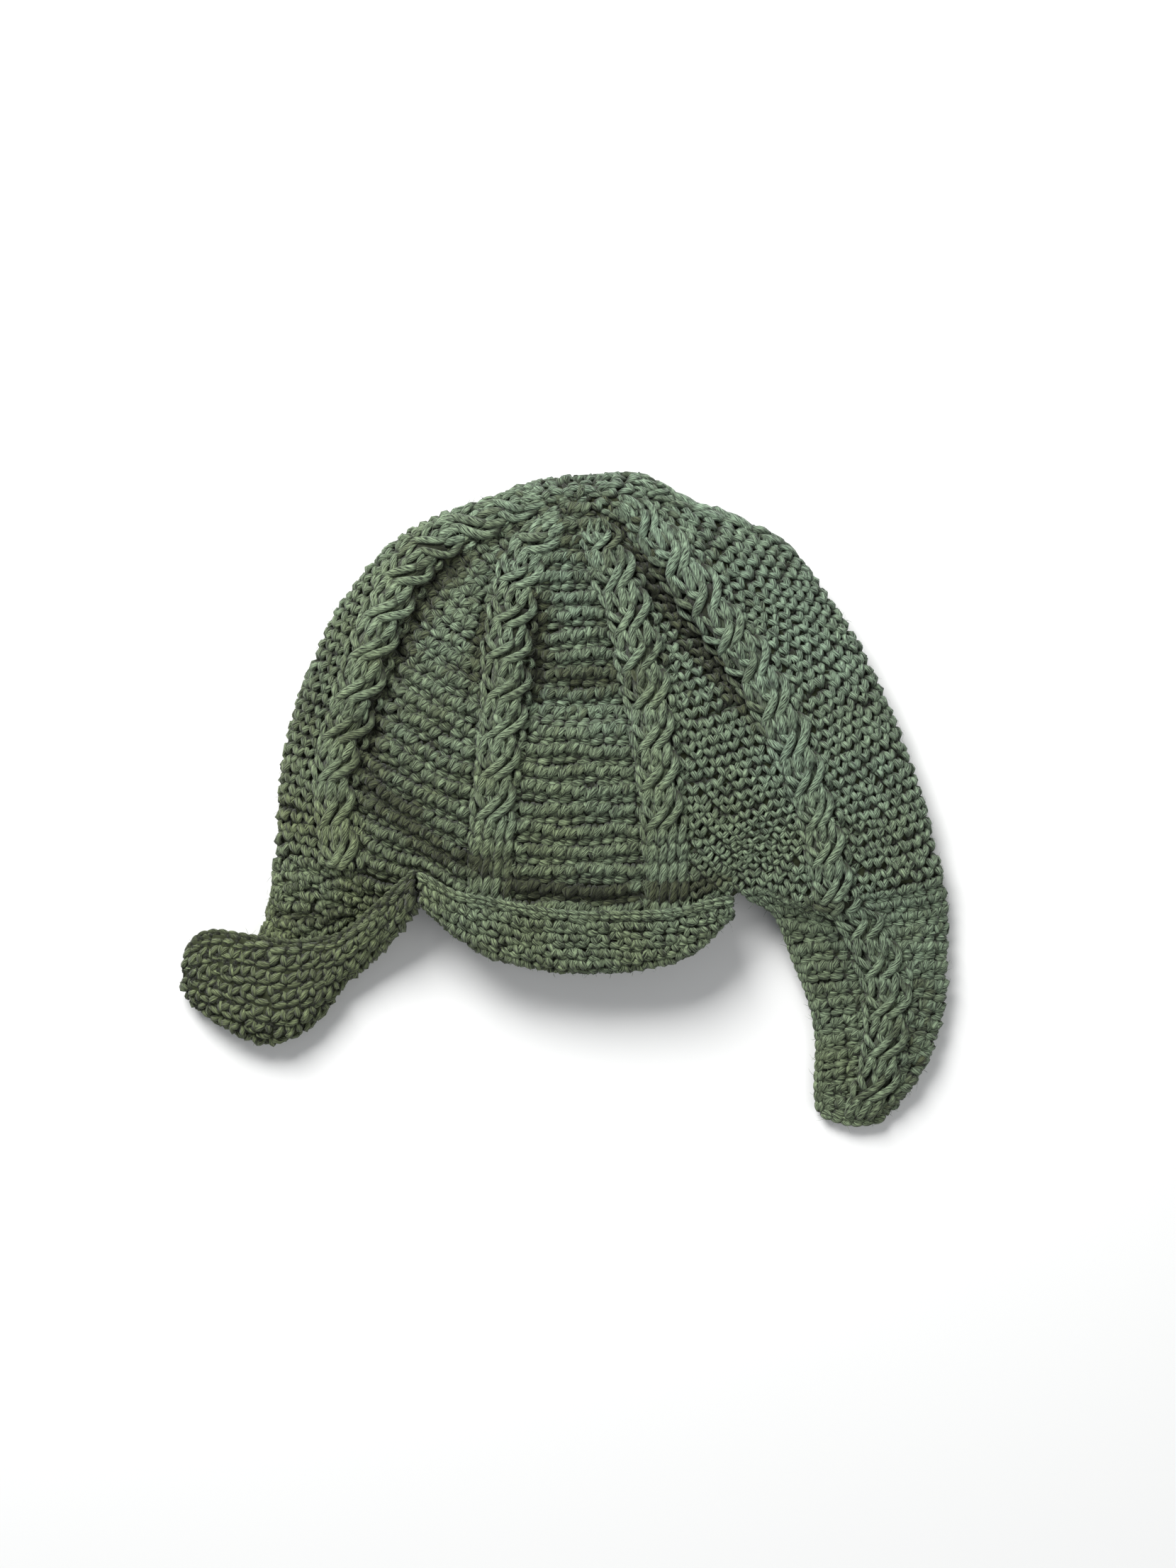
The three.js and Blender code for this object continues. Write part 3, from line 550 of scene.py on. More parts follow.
class Strands:
    """Many short lengths of yarn, joined to one mesh.

    shaded is how far they take the shades, and hairs how many loose hairs a strand has."""

    def __init__(self, sides, shaded=1.0, hairs=0.0):
        self.sides = sides
        self.shaded = shaded
        self.hairs = hairs
        self.points = []
        self.quads = []
        self.caps = []
        self.count = 0

    def keep(self, points):
        """Keeps a grid of points and numbers them."""
        first = self.count
        self.count += points[..., 0].size
        self.points.append(points.reshape(-1, 3))
        return np.arange(first, self.count).reshape(points.shape[:-1])

    def add(self, centres, ups, radius, tone, flat=0.85, ends=(0.3, 0.3)):
        """centres and ups are strand x step x 3 arrays, radius a strand x step array, and ends the shares
        of the strands that are painted in shade at their ends."""
        strands, steps = centres.shape[:2]
        sides = self.sides
        along = unit(np.gradient(centres, axis=1))
        aside = unit(np.cross(along, ups))
        up = np.cross(aside, along)
        angle = (np.arange(sides) / sides - 0.25) * 2 * math.pi
        out = aside[:, :, None] * np.cos(angle)[:, None] + up[:, :, None] * (flat * np.sin(angle))[:, None]
        ring = centres[:, :, None] + out * radius[:, :, None, None]
        ring[..., 2] = np.maximum(ring[..., 2], 0)
        number = self.keep(ring)
        number = np.concatenate([number, number[..., :1]], axis=2)
        length = lengths_along(centres, axis=1) + random.uniform(0, 200, (strands, 1))
        girth = 2 * math.pi * radius.max(axis=1)
        turn = random.uniform(0, 50, strands)
        u = np.broadcast_to(length[:, :, None], number.shape)
        v = turn[:, None, None] + girth[:, None, None] * np.linspace(0, 1, sides + 1)
        uv = np.stack([u, np.broadcast_to(v, u.shape)], axis=-1)
        # Painted shade: the table of shades darkens each strand's tone.
        dark = shade_at(centres[:, steps // 2], ups[:, steps // 2]) * self.shaded
        tone = np.clip(tone - dark, 0, 1)
        # Painted shade: each strand's underside and its ends, where it dives into the cloth, get the
        # hollows' dark colour.
        depth = np.sin(angle) * 0.5 + 0.5
        depth = np.append(depth, depth[0])
        t = np.linspace(0, 1, steps)
        lift = smooth(0, ends[0], t) * smooth(0, ends[1], 1 - t)
        high = np.broadcast_to(lift[None, :, None] * (0.35 + 0.65 * depth), u.shape)
        shade = np.stack([np.broadcast_to(tone[:, None, None], u.shape), high], axis=-1)
        self.quads.append([quads(grid) for grid in (number, uv, shade)])
        for step, order in ((0, slice(None, None, -1)), (-1, slice(None))):
            self.caps.append([grid[:, step, :-1][:, order] for grid in (number, uv, shade)])
        if self.hairs:
            self.add_hairs(centres, along, aside, up, radius, tone)

    def add_hairs(self, centres, along, aside, up, radius, tone):
        """Flat, thin loose hairs that leave the strands and fall back on them."""
        strands, steps = centres.shape[:2]
        count = random.poisson(self.hairs * strands)
        which = random.integers(0, strands, count), random.integers(1, steps - 1, count)
        forward, side, rise = along[which], aside[which], up[which]
        girth = radius[which][:, None]
        root = centres[which] + rise * girth * 0.75 + side * girth * random.uniform(-0.6, 0.6, (count, 1))
        angle = random.normal(0, 0.8, (count, 1)) + random.integers(0, 2, (count, 1)) * math.pi
        way = forward * np.cos(angle) + side * np.sin(angle)
        across = np.cross(way, rise)
        length = random.uniform(*HAIR_LENGTHS, (count, 1, 1))
        t = HAIR_STEPS[:, None]
        height = random.uniform(*HAIR_HEIGHTS, (count, 1, 1)) * 4 * t * (1 - t) - HAIR_DROP * t * t
        bend = random.normal(0, 1.5, (count, 1, 1)) * t * t
        line = root[:, None] + way[:, None] * length * t + rise[:, None] * height + across[:, None] * bend
        wide = across[:, None] * HAIR_HALF_WIDTH[:, None]
        points = np.stack([line - wide, line + wide], axis=2)
        points[..., 2] = np.maximum(points[..., 2], HAIR_LOWEST)
        number = self.keep(points)
        uv = random.uniform(0, 300, (count, 2))
        shade = np.stack([tone[which[0]], np.full(count, 0.75)], axis=1)
        everywhere = [np.repeat(value, HAIR_FACES * 4, axis=0).reshape(-1, 4, 2) for value in (uv, shade)]
        self.quads.append([quads(number), *everywhere])

    def build(self, name):
        blocks = [[np.concatenate(part) for part in zip(*group)] for group in (self.quads, self.caps)]
        maps = [np.concatenate([block[i].reshape(-1, 2) for block in blocks]) for i in (1, 2)]
        return make_object(name, np.concatenate(self.points), [block[0] for block in blocks], *maps)


def cloth(name, surface, top, bottom, step=1, across_step=1):
    """A wall between two distances above a surface. The crown's goes round and starts at one point."""
    cells = slice(None, None, step), slice(None, None, across_step)
    rows, normals = surface.points[cells], surface.normals[cells]
    if surface.closed:
        rows, normals = rows[:, :-1], normals[:, :-1]
    points = np.stack([rows + normals * top, rows + normals * bottom])
    points[..., 2] = np.maximum(points[..., 2], CLOTH_LOWEST)
    number = np.arange(points[..., 0].size).reshape(points.shape[:-1])
    if surface.closed:
        number = np.concatenate([number, number[..., :1]], axis=2)
        number[:, 0] = number[:, 0, :1]
    upper, lower = number

    def sheet(*lines):
        return quads(np.stack(lines)[None])[:, [0, 3, 2, 1]]

    faces = [sheet(*upper), sheet(*lower)[:, ::-1], sheet(upper[-1], lower[-1])]
    if not surface.closed:
        faces.append(sheet(upper[0], lower[0])[:, ::-1])
        faces.append(sheet(upper[:, 0], lower[:, 0])[:, ::-1])
        faces.append(sheet(upper[:, -1], lower[:, -1]))
    faces = np.concatenate(faces)
    at_centre = faces[:, 0] == faces[:, 3]
    faces = [faces[~at_centre], faces[at_centre][:, :3]]
    used = np.unique(np.concatenate([block.ravel() for block in faces]))
    flat = np.zeros((sum(block.size for block in faces), 2))
    faces = [np.searchsorted(used, block) for block in faces]
    return make_object(name, points.reshape(-1, 3)[used], faces, flat, flat)


# Stitches. Each strand is a list of points: s across the stitch, t along the column of stitches away
# from the crown's centre, height above the base and half the strand's width, both in millimetres.

def sampled(points, steps):
    points = np.asarray(points, float)
    at = np.linspace(0, len(points) - 1, steps + 1)
    number = np.arange(len(points))
    return np.stack([curve_through(number, points[:, i])(at) for i in range(4)], axis=1)


FAN = [
    [(-0.06, -0.12, 0.2, 1.0), (0.04, 0.06, 2.3, 1.45), (0.12, 0.24, 2.2, 1.4), (0.19, 0.44, 1.0, 1.05),
     (0.23, 0.56, 0, 0.6)],
    [(0.46, -0.14, 0.2, 1.0), (0.42, 0.04, 2.6, 1.5), (0.36, 0.22, 2.5, 1.45), (0.28, 0.42, 1.1, 1.1),
     (0.22, 0.56, 0, 0.6)],
    [(0.95, -0.12, 0.2, 1.0), (0.82, 0.05, 2.6, 1.55), (0.65, 0.21, 2.5, 1.5), (0.43, 0.4, 1.2, 1.15),
     (0.26, 0.54, 0, 0.6)],
    [(1.06, 0.5, 0.1, 0.8), (0.88, 0.46, 1.9, 1.35), (0.64, 0.47, 2.1, 1.45), (0.42, 0.53, 1.3, 1.2),
     (0.26, 0.6, 0, 0.6)],
]
BAR = [(-0.06, 0.82, 0.0, 0.9), (0.2, 0.78, 1.6, 1.5), (0.52, 0.75, 2.0, 1.65), (0.84, 0.72, 1.6, 1.45),
       (1.12, 0.68, 0.0, 0.8)]
LATTICE_LEG = [(0.06, -0.12, 0.2, 1.0), (0.2, 0.05, 2.2, 1.35), (0.36, 0.2, 2.4, 1.4),
               (0.47, 0.36, 1.4, 1.15), (0.5, 0.48, 0, 0.6)]
LATTICE_PLACES = [(0.02, 0), (0.52, 0.5)]  # t and s of the two small stitches in the height of a row


def lattice_leg(start, aside, mirrored):
    return [((1 - s if mirrored else s) + aside, start + t, h, w) for s, t, h, w in LATTICE_LEG]


FINE_MOTIFS = [sampled(strand, 4) for strand in (*FAN, BAR)]
PLAIN_MOTIFS = [sampled(strand, 3) for strand in (FAN[0], FAN[2], BAR)]
LATTICE_MOTIFS = [
    sampled(lattice_leg(*place, mirrored), 4) for place in LATTICE_PLACES for mirrored in (False, True)
]
TURNED_FAN = [motif[:, [1, 0, 2, 3]] for motif in FINE_MOTIFS]  # for rows that run out from the crown
TURNED_LEGS = [TURNED_FAN[i] for i in (0, 2, 4)]
RIDGE_SHARES = (1, 1.2, 1.2, -0.4, -0.7)  # a strand's part in a row's ridge: the fans up, the rest down


def stitch(strands, motifs, place, cells, width, tall, ridge, lighter, sink, loose=0.05, tails=0.55):
    """Lays motifs on cells. place maps (s, t, height) to points and normals.

    cells are the stitches' numbers in their row, width and tall their sizes, ridge how far their fans rise
    into a ridge, lighter how much lighter the yarn is (below 0 for painted shade in the crown's folds),
    sink how much lower it lies, and tails the share of the strands that is painted in shade at the far end."""
    count = len(cells)
    scale = np.clip(width / STITCH_WIDTH, 0.6, 1.15) ** 0.6 * np.clip(tall, 0.6, 1.35) ** 0.5
    shift = random.normal(0, loose, (2, count))
    turn = random.normal(0, loose, count)
    lift = random.normal(0, 0.2, (count, 1)) - np.broadcast_to(sink, count)[:, None]
    ridge = np.broadcast_to(ridge, count)[:, None]
    for motif, share in zip(motifs, RIDGE_SHARES):
        sway = random.normal(0, loose * 0.7, (2, count))
        across = cells[:, None] + motif[:, 0] + (shift[0] + sway[0])[:, None]
        along = motif[:, 1] + (shift[1] + sway[1])[:, None] + (motif[:, 0] - 0.5) * turn[:, None]
        above = motif[:, 2] * (1 + 0.4 * share * ridge)
        height = STITCH_BASE + above * scale[:, None] + lift + random.normal(0, 0.12, (count, 1))
        fat = random.normal(1, 0.07, (count, 1))
        points, ups = place(across, along, height)
        tone = yarn_tone(count, lighter=lighter)
        strands.add(points, ups, motif[:, 3] * scale[:, None] * fat, tone, ends=(0.35, tails))


FULL_DEPTH = 8.0


def fold_depth(panel, across, v, pitch):
    """How deep a place lies in one of the folds, 0 to about 1, which sets the painted shade there."""
    folds = [valley(*row[1:], across, v, pitch) for row in VALLEYS if row[0] == panel]
    depth = sum(folds, np.zeros_like(across)) / FULL_DEPTH
    if panel == CREASE_PANEL:
        reach = np.where(v < CREASE_AT, CREASE_ABOVE * 0.6, CREASE_BELOW)
        depth += 0.5 * np.sin(math.pi * across) * bell((v - CREASE_AT) / reach)
    return depth


# Painted shade: how much darker the stitches are in the folds beside the cables and in the tuck.
FOLD_PAINTED_SHADE = 0.15
LATTICE_LIGHTER = 0.1
LATTICE_PANELS = (2, 3, 7)
BACK_PANELS = (4, 5, 6)
# How far the rows' ridges stand out in each panel, at the centre and at the rim
RIDGES = {0: (0.2, 1.3), 1: (0.9, 0.8), 2: (0.3, 0.4), 3: (0, 0.2), 7: (0.2, 0.4)}
# Near the centre the cloth's rows go on under the cables. Further out they end at this share of a cable.
CLOTH_ENDS, CLOTH_ENDS_ROWS = 0.6, (3, 8)
# The stitches next to a cable lie lower, and lower still away from the centre.
BESIDE_CABLE, BESIDE_SINK, SINK_ROWS = (6.5, 10), (0.5, 1.3), (2, 8)


def crown_panel_strands(panel):
    """The rows of stitches between cable number panel and the next one."""
    back, lattice = panel in BACK_PANELS, panel in LATTICE_PANELS
    motifs = PLAIN_MOTIFS if back else LATTICE_MOTIFS if lattice else FINE_MOTIFS
    strands = Strands(5, hairs=0) if back else Strands(6, hairs=1.4)
    for row in range(CROWN_ROWS):
        middle = np.float64((row + 0.5) / CROWN_ROWS)
        ends_at = CLOTH_ENDS * smooth(*CLOTH_ENDS_ROWS, row)
        start = cable_half(panel, middle) * ends_at
        pitch = pitch_at(panel, middle)
        width = pitch * (1 - 2 * start)
        count = max(1, int(round(width / STITCH_WIDTH)))
        wave = random.uniform(0.4, 1.1), random.uniform(0, 6.3)

        def place(s, t, height):
            v = (row + t + 0.1 * np.sin(s * wave[0] + wave[1])) / CROWN_ROWS
            half = cable_half(panel, v) * ends_at
            column = panel + mix(half, 1 - half, s / count)
            return crown.at(v, column / CABLES, height)

        cells = np.arange(count, dtype=float)
        across = start + (cells + 0.5) / count * (1 - 2 * start)
        column = (panel + across) / CABLES
        above, _ = crown.frame(np.full(count, row / CROWN_ROWS), column)
        below, _ = crown.frame(np.full(count, (row + 1) / CROWN_ROWS), column)
        tall = np.linalg.norm(below - above, axis=1) / ROW_HEIGHT
        ridge = mix(*RIDGES.get(panel, (0, 0)), smooth(0.3, 0.7, middle))
        # Painted shade in the folds darkens the stitches' tone.
        lighter = lattice * LATTICE_LIGHTER - FOLD_PAINTED_SHADE * fold_depth(panel, across, middle, pitch)
        beside = 1 - smooth(*BESIDE_CABLE, np.minimum(across, 1 - across) * pitch)
        sink = mix(*BESIDE_SINK, smooth(*SINK_ROWS, row)) * beside
        wide = np.full(count, width / count)
        stitch(strands, motifs, place, cells, wide, tall, ridge, lighter, sink)
    return strands


# Cables: four columns of post stitches, each a thin left leg and a full right leg, and every second
# row of them crosses, the left two columns over the right two. x counts half widths from the middle.

POST_COLUMNS = (-0.74, -0.25, 0.24, 0.73)
THIN_LEG = [(-0.22, -0.14, 0.4, 0.7), (-0.2, 0.12, 2.1, 1.2), (-0.13, 0.5, 2.2, 1.3),
            (-0.04, 0.98, 0.4, 0.7)]
FULL_LEG = [(0.22, -0.26, 0.4, 1.0), (0.19, 0.03, 2.4, 1.75), (0.13, 0.4, 2.6, 1.9), (0.06, 0.8, 2.1, 1.65),
            (-0.02, 1.1, 0.3, 0.8)]
CROSSING = [
    # the five legs that lie under, then the left and the right ones that lie over them
    [(-0.88, -0.25, 0.6, 0.9), (-0.8, 0.05, 2.3, 1.7), (-0.6, 0.38, 2.2, 1.7), (-0.38, 0.66, 1.0, 1.1)],
    [(-0.38, -0.25, 0.6, 0.9), (-0.28, 0.0, 2.3, 1.7), (-0.1, 0.26, 1.8, 1.5), (0.06, 0.46, 0.6, 0.9)],
    [(0.36, 0.7, 0.8, 1.0), (0.48, 0.9, 2.2, 1.6), (0.5, 1.2, 0.8, 0.9)],
    [(0.8, 0.5, 0.8, 1.0), (0.92, 0.8, 2.2, 1.6), (0.88, 1.16, 0.6, 0.9)],
    [(-0.98, 0.15, 0.6, 0.9), (-0.96, 0.5, 2.0, 1.5), (-0.86, 0.85, 1.8, 1.4), (-0.8, 1.15, 0.5, 0.8)],
    [(-0.86, 1.36, 0.4, 0.9), (-0.68, 1.06, 2.1, 1.6), (-0.36, 0.7, 2.8, 2.0), (-0.04, 0.32, 2.9, 2.0),
     (0.16, -0.04, 2.6, 1.75), (0.22, -0.38, 0.6, 1.0)],
    [(-0.34, 1.42, 0.4, 0.9), (-0.15, 1.12, 2.1, 1.6), (0.18, 0.78, 2.9, 2.0), (0.52, 0.4, 3.0, 2.0),
     (0.74, 0.0, 2.8, 1.9), (0.78, -0.4, 2.5, 1.7), (0.72, -0.78, 0.5, 0.9)],
]
CABLE_BASE = 1.4
CABLE_LOWER = 0.8  # how much lower the cables lie near the centre and on the back
CABLE_FIRST_ROW = 2
CABLE_PLAIN_FROM = {1: 19, 2: 19}  # the two middle cables end in plain columns of posts
CABLE_SHADED = 0.4
CABLE_HAIRS = 2.5
UNDER_PEAK = (1, 2)
UNDER_PEAK_DOWN = 1.6
SQUARING = 0.9  # how far the cables' own rows stand square to them
CORE_FIRST_ROW = 7
CORE_WIDTH, CORE_HEIGHT = 6.2, 1.8
# The cores are darker than the usual tone: painted shade between a cable's strands.
CORE_PAINTED_SHADE_TONE = 0.52


def cable_shear(cable):
    """How many rows a step of half a cable's width must go down to be square to the cable."""
    level = np.linspace(0.06, 1, 40)
    middle, _ = crown.frame(level, np.full_like(level, cable / CABLES))
    aside, _ = crown.frame(level, np.mod(cable + cable_half(cable, level), CABLES) / CABLES)
    down = np.gradient(middle, level, axis=0)
    across = aside - middle
    rows = -np.sum(across * down, axis=1) / np.sum(down * down, axis=1) * CROWN_ROWS
    return lambda row: np.interp(np.asarray(row, float) / CROWN_ROWS, level, rows)


CABLE_SHEAR = [cable_shear(cable) for cable in range(CABLES)]


def cable_cell(cable, row, x, t, height):
    """A point of a cable's own cell."""
    v = (row + t + x * SQUARING * CABLE_SHEAR[cable](row)) / CROWN_ROWS
    column = cable + np.where(x > 0, x * cable_half(cable, v), x * cable_half(cable - 1, v))
    if cable in UNDER_PEAK:
        height = height - UNDER_PEAK_DOWN * smooth(0.78, 0.86, v)
    return crown.at(v, np.mod(column, CABLES) / CABLES, height)


def laid_legs(crossing, last):
    """The legs of a cable's row with their columns' places. The last one is left out before a crossing."""
    if crossing:
        return [(leg, 0) for leg in CROSSING]
    legs = [(leg, column) for column in POST_COLUMNS for leg in (THIN_LEG, FULL_LEG)]
    return legs if last else legs[:-1]


def cable_strands(cable):
    fine = cable < FRONT_CABLES
    steps = 8 if fine else 5
    strands = Strands(7 if fine else 5, hairs=CABLE_HAIRS * fine)
    plain_from = CABLE_PLAIN_FROM.get(cable, CROWN_ROWS)
    for row in range(CABLE_FIRST_ROW, CROWN_ROWS):
        crossing = row % 2 == 1 and row < plain_from
        strands.shaded = 1.0 if row > 19 and cable in UNDER_PEAK else CABLE_SHADED
        v = np.float64((row + 0.5) / CROWN_ROWS)
        low = smooth(0.1, 0.5, v)
        base = CABLE_BASE - CABLE_LOWER * max(not fine, 1 - low)
        narrow = min(1, cable_half(cable, v) * pitch_at(cable, v) / (CABLE_WIDTH / 2))
        ends, _ = crown.frame(np.array([row, row + 1]) / CROWN_ROWS, np.full(2, cable / CABLES))
        stretch = np.clip(np.linalg.norm(ends[1] - ends[0]) / ROW_HEIGHT, 0.85, 1.6) ** 0.8
        for leg, column in laid_legs(crossing, row + 1 >= plain_from):
            motif = sampled(leg, steps)
            arch = 1 - 0.35 * column * column
            x = np.clip(motif[:, 0] + column + random.normal(0, 0.04), -1.1, 1.1)
            height = base + motif[:, 2] * mix(0.6, 0.85, low) * narrow * arch + random.normal(0, 0.15)
            t = motif[:, 1] + random.normal(0, 0.02)
            points, ups = cable_cell(cable, row, x[None], t[None], height[None])
            tone = yarn_tone(1)
            radius = motif[None, :, 3] * 0.9 * narrow * stretch * random.normal(1, 0.05)
            strands.add(points, ups, radius, tone, 0.8)
    row = mix(CORE_FIRST_ROW, CROWN_ROWS, FINE)
    height = mix(0.3, 0.9, smooth(0, 0.3, FINE))
    core(strands, *cable_cell(cable, row, 0 * FINE, 0 * FINE, height), CORE_WIDTH, CORE_HEIGHT)
    return strands


def core(strands, points, ups, width, height):
    """A low rib under a cable's strands, so that nothing shows through between them."""
    radius = np.full((1, len(points)), width)
    # Painted shade: the core's darker tone.
    strands.add(points[None], ups[None], radius, np.array([CORE_PAINTED_SHADE_TONE]), flat=height / width)


# Flaps

def raised(along, t, whole):
    """Lifts the coarse stitches of an inner face clear of the cloth behind them."""
    return np.full(len(along), -0.6)


FLAP_CABLE_ROWS = 12
FLAP_CABLE_HALF = 8.5
FLAP_CABLE_END = 0.93
FLAP_CORE_WIDTH, FLAP_CORE_HEIGHT = 5.0, 1.75


def flap_cable_place(t):
    """Where the cable's middle lies across the flap, from its front edge at 0 to its back edge at 1."""
    return 1 / 3 + 0.04 * np.asarray(t)


def under_flap_cable(along, t, whole):
    from_cable = np.abs(along - flap_cable_place(t) * whole)
    return 1.3 * (1 - smooth(5, 9, from_cable)) * (t < FLAP_CABLE_END)


def flap_stitches(surface, rows, row_height, side, motifs, sides, turned=False, sink=None,
                  pitch=STITCH_WIDTH, loose=0.06, shaded=1.0, ridge=0.0, hairs=0.0, lighter=0.0):
    """Stitches on a flap's face. turned: the rows of stitches run along the surface's columns of points."""
    strands = Strands(sides, shaded, hairs)

    def frame_at(u, v):
        v = np.full(len(u), v)
        return surface.frame(u, v)[0] if turned else surface.frame(v, u)[0]

    for row in range(rows):
        middle = (row + 0.5) / rows
        along = lengths_along(frame_at(FINE, middle))
        whole = along[-1]
        count = max(2, int(round(whole / pitch)))

        def place(s, t, height):
            u = np.interp(s / count * whole, along, FINE)
            v = (row + t) / rows
            return surface.at(u, v, height, side) if turned else surface.at(v, u, height, side)

        cells = np.arange(count, dtype=float)
        middles = (cells + 0.5) / count * whole
        lower = sink(middles, middle, whole) if sink else 0.0
        u = np.interp(middles, along, FINE)
        across = frame_at(u, (row + 1) / rows) - frame_at(u, row / rows)
        tall = np.linalg.norm(across, axis=1) / row_height
        width = np.full(count, whole / count / pitch * STITCH_WIDTH)
        stitch(strands, motifs, place, cells, width, tall, ridge, lighter, lower, loose, 0.3)
    return strands


def flap_cable(surface):
    strands = Strands(7, hairs=CABLE_HAIRS)
    whole = [lengths_along(surface.frame(np.full_like(FINE, t), FINE)[0])[-1] for t in FINE]

    def place(x, v, height):
        half = FLAP_CABLE_HALF / np.interp(v, FINE, whole) * mix(1, 0.75, v)
        return surface.at(v, flap_cable_place(v) + x * half, height)

    for row in range(FLAP_CABLE_ROWS):
        for leg, column in laid_legs(row % 2 == 0, False):
            motif = sampled(leg, 8)
            v = np.clip((row + motif[:, 1]) / FLAP_CABLE_ROWS, 0, 0.99)
            x = np.clip(motif[:, 0] + column + random.normal(0, 0.03), -1.1, 1.1)
            points, ups = place(x, v, CABLE_BASE - 0.4 + motif[:, 2] * 0.85)
            strands.add(points[None], ups[None], motif[None, :, 3] * 0.85, yarn_tone(1, 0.08))
    t = np.linspace(0, 0.95, 40)
    core(strands, *place(0 * t, t, np.full_like(t, 0.6)), FLAP_CORE_WIDTH, FLAP_CORE_HEIGHT)
    return strands


# Edgings: chain stitches along the free edges

CHAIN_LINK = 4.3
CHAIN_LEG = [(-0.15, 0.0, -0.6, 0.6), (0.2, 0.8, 0.4, 0.95), (0.7, 0.85, 0.7, 1.0), (1.2, 0.1, 0.2, 0.7)]


def chain(strands, surface, edge, inner, face, offset):
    """Chain stitches along an edge of a surface. edge and inner are the rows and columns of the points on
    the edge and of some further in."""
    line = surface.points[edge]
    out = unit(line - surface.points[inner])
    up = surface.normals[edge] * face
    along = lengths_along(line)
    links = max(2, int(along[-1] / CHAIN_LINK))
    motif = sampled(CHAIN_LEG, 7)
    for link in range(links):
        at = np.clip((link + motif[:, 0]) / links * along[-1], 0, along[-1])
        here, aside, above = (read_line(at, along, values) for values in (line, out, up))
        aside, above = unit(aside), unit(above)
        for way in (-1, 1):
            sideways = (offset + way * motif[:, 1] * 1.1)[:, None]
            points = here + aside * sideways + above * (0.6 + motif[:, 2])[:, None]
            tone = yarn_tone(1, 0.08, 0.02)
            strands.add(points[None], above[None], motif[None, :, 3] * random.normal(1.15, 0.05), tone)


# Materials

def fill(tree, item, inputs):
    """Gives a node's inputs their values. A value may be another node's output."""
    for key, value in inputs.items():
        if isinstance(value, bpy.types.NodeSocket):
            tree.links.new(value, item.inputs[key])
        else:
            item.inputs[key].default_value = value


def node(tree, kind, inputs={}, **settings):
    item = tree.nodes.new(kind)
    for name, value in settings.items():
        setattr(item, name, value)
    fill(tree, item, inputs)
    return item


def calculate(tree, operation, a, b):
    return node(tree, "ShaderNodeMath", {0: a, 1: b}, operation=operation).outputs[0]


def mix_colours(tree, factor, a, b, blend="MIX"):
    inputs = {0: factor, 6: a, 7: b}
    return node(tree, "ShaderNodeMix", inputs, data_type="RGBA", blend_type=blend).outputs[2]


def rescaled(tree, value, low, high, new_low=0.0, new_high=1.0):
    inputs = {0: value, 1: low, 2: high, 3: new_low, 4: new_high}
    return node(tree, "ShaderNodeMapRange", inputs).outputs[0]


def colour(rgb, lightness=1.0):
    return (*(((c / 255 + 0.055) / 1.055) ** 2.4 * lightness for c in rgb), 1)


def new_material(name, **shading):
    material = bpy.data.materials.new(name)
    material.use_nodes = True
    tree = material.node_tree
    shader = tree.nodes["Principled BSDF"]
    fill(tree, shader, {key.replace("_", " "): value for key, value in shading.items()})
    return material, tree, shader


SAGE = (103, 120, 101)  # the yarn where it lies in full light, towards the top and right
OLIVE = (94, 103, 73)  # the yarn towards the bottom and left
# Painted shade: the brown of the yarn in the folds, where the tone is low.
PAINTED_FOLD_SHADE = (86, 93, 66)  # in the folds
# Painted shade: the dark colour deep between the strands and under them.
PAINTED_HOLLOW_SHADE = (36, 40, 26)  # deep between the strands
WARM_LINE = math.radians(-50)  # across this way the yarn turns from olive to sage
FIBRE_ANGLE = math.radians(28)
GRAIN = [  # scale along and across the strand, detail and share: plies, fibres and hairs
    (0.3, 2.1, 0, 0.55),
    (0.5, 4.2, 1, 0.3),
    (0.8, 7.0, 1, 0.15),
]


def yarn_grain(tree):
    """Twisted plies with fibres on them, about 0.5 on the whole."""
    yarn = node(tree, "ShaderNodeUVMap", uv_map="Yarn").outputs[0]
    turned = node(tree, "ShaderNodeMapping", {"Vector": yarn, "Rotation": (0, 0, FIBRE_ANGLE)}).outputs[0]
    grain = None
    for along, across, detail, share in GRAIN:
        stretched = node(tree, "ShaderNodeMapping", {"Vector": turned, "Scale": (along, across, 1)})
        inputs = {"Vector": stretched.outputs[0], "Scale": 1, "Detail": detail, "Roughness": 0.6}
        noise = node(tree, "ShaderNodeTexNoise", inputs, noise_dimensions="2D")
        part = calculate(tree, "MULTIPLY", noise.outputs["Fac"], share)
        grain = calculate(tree, "ADD", grain, part) if grain else part
    return grain


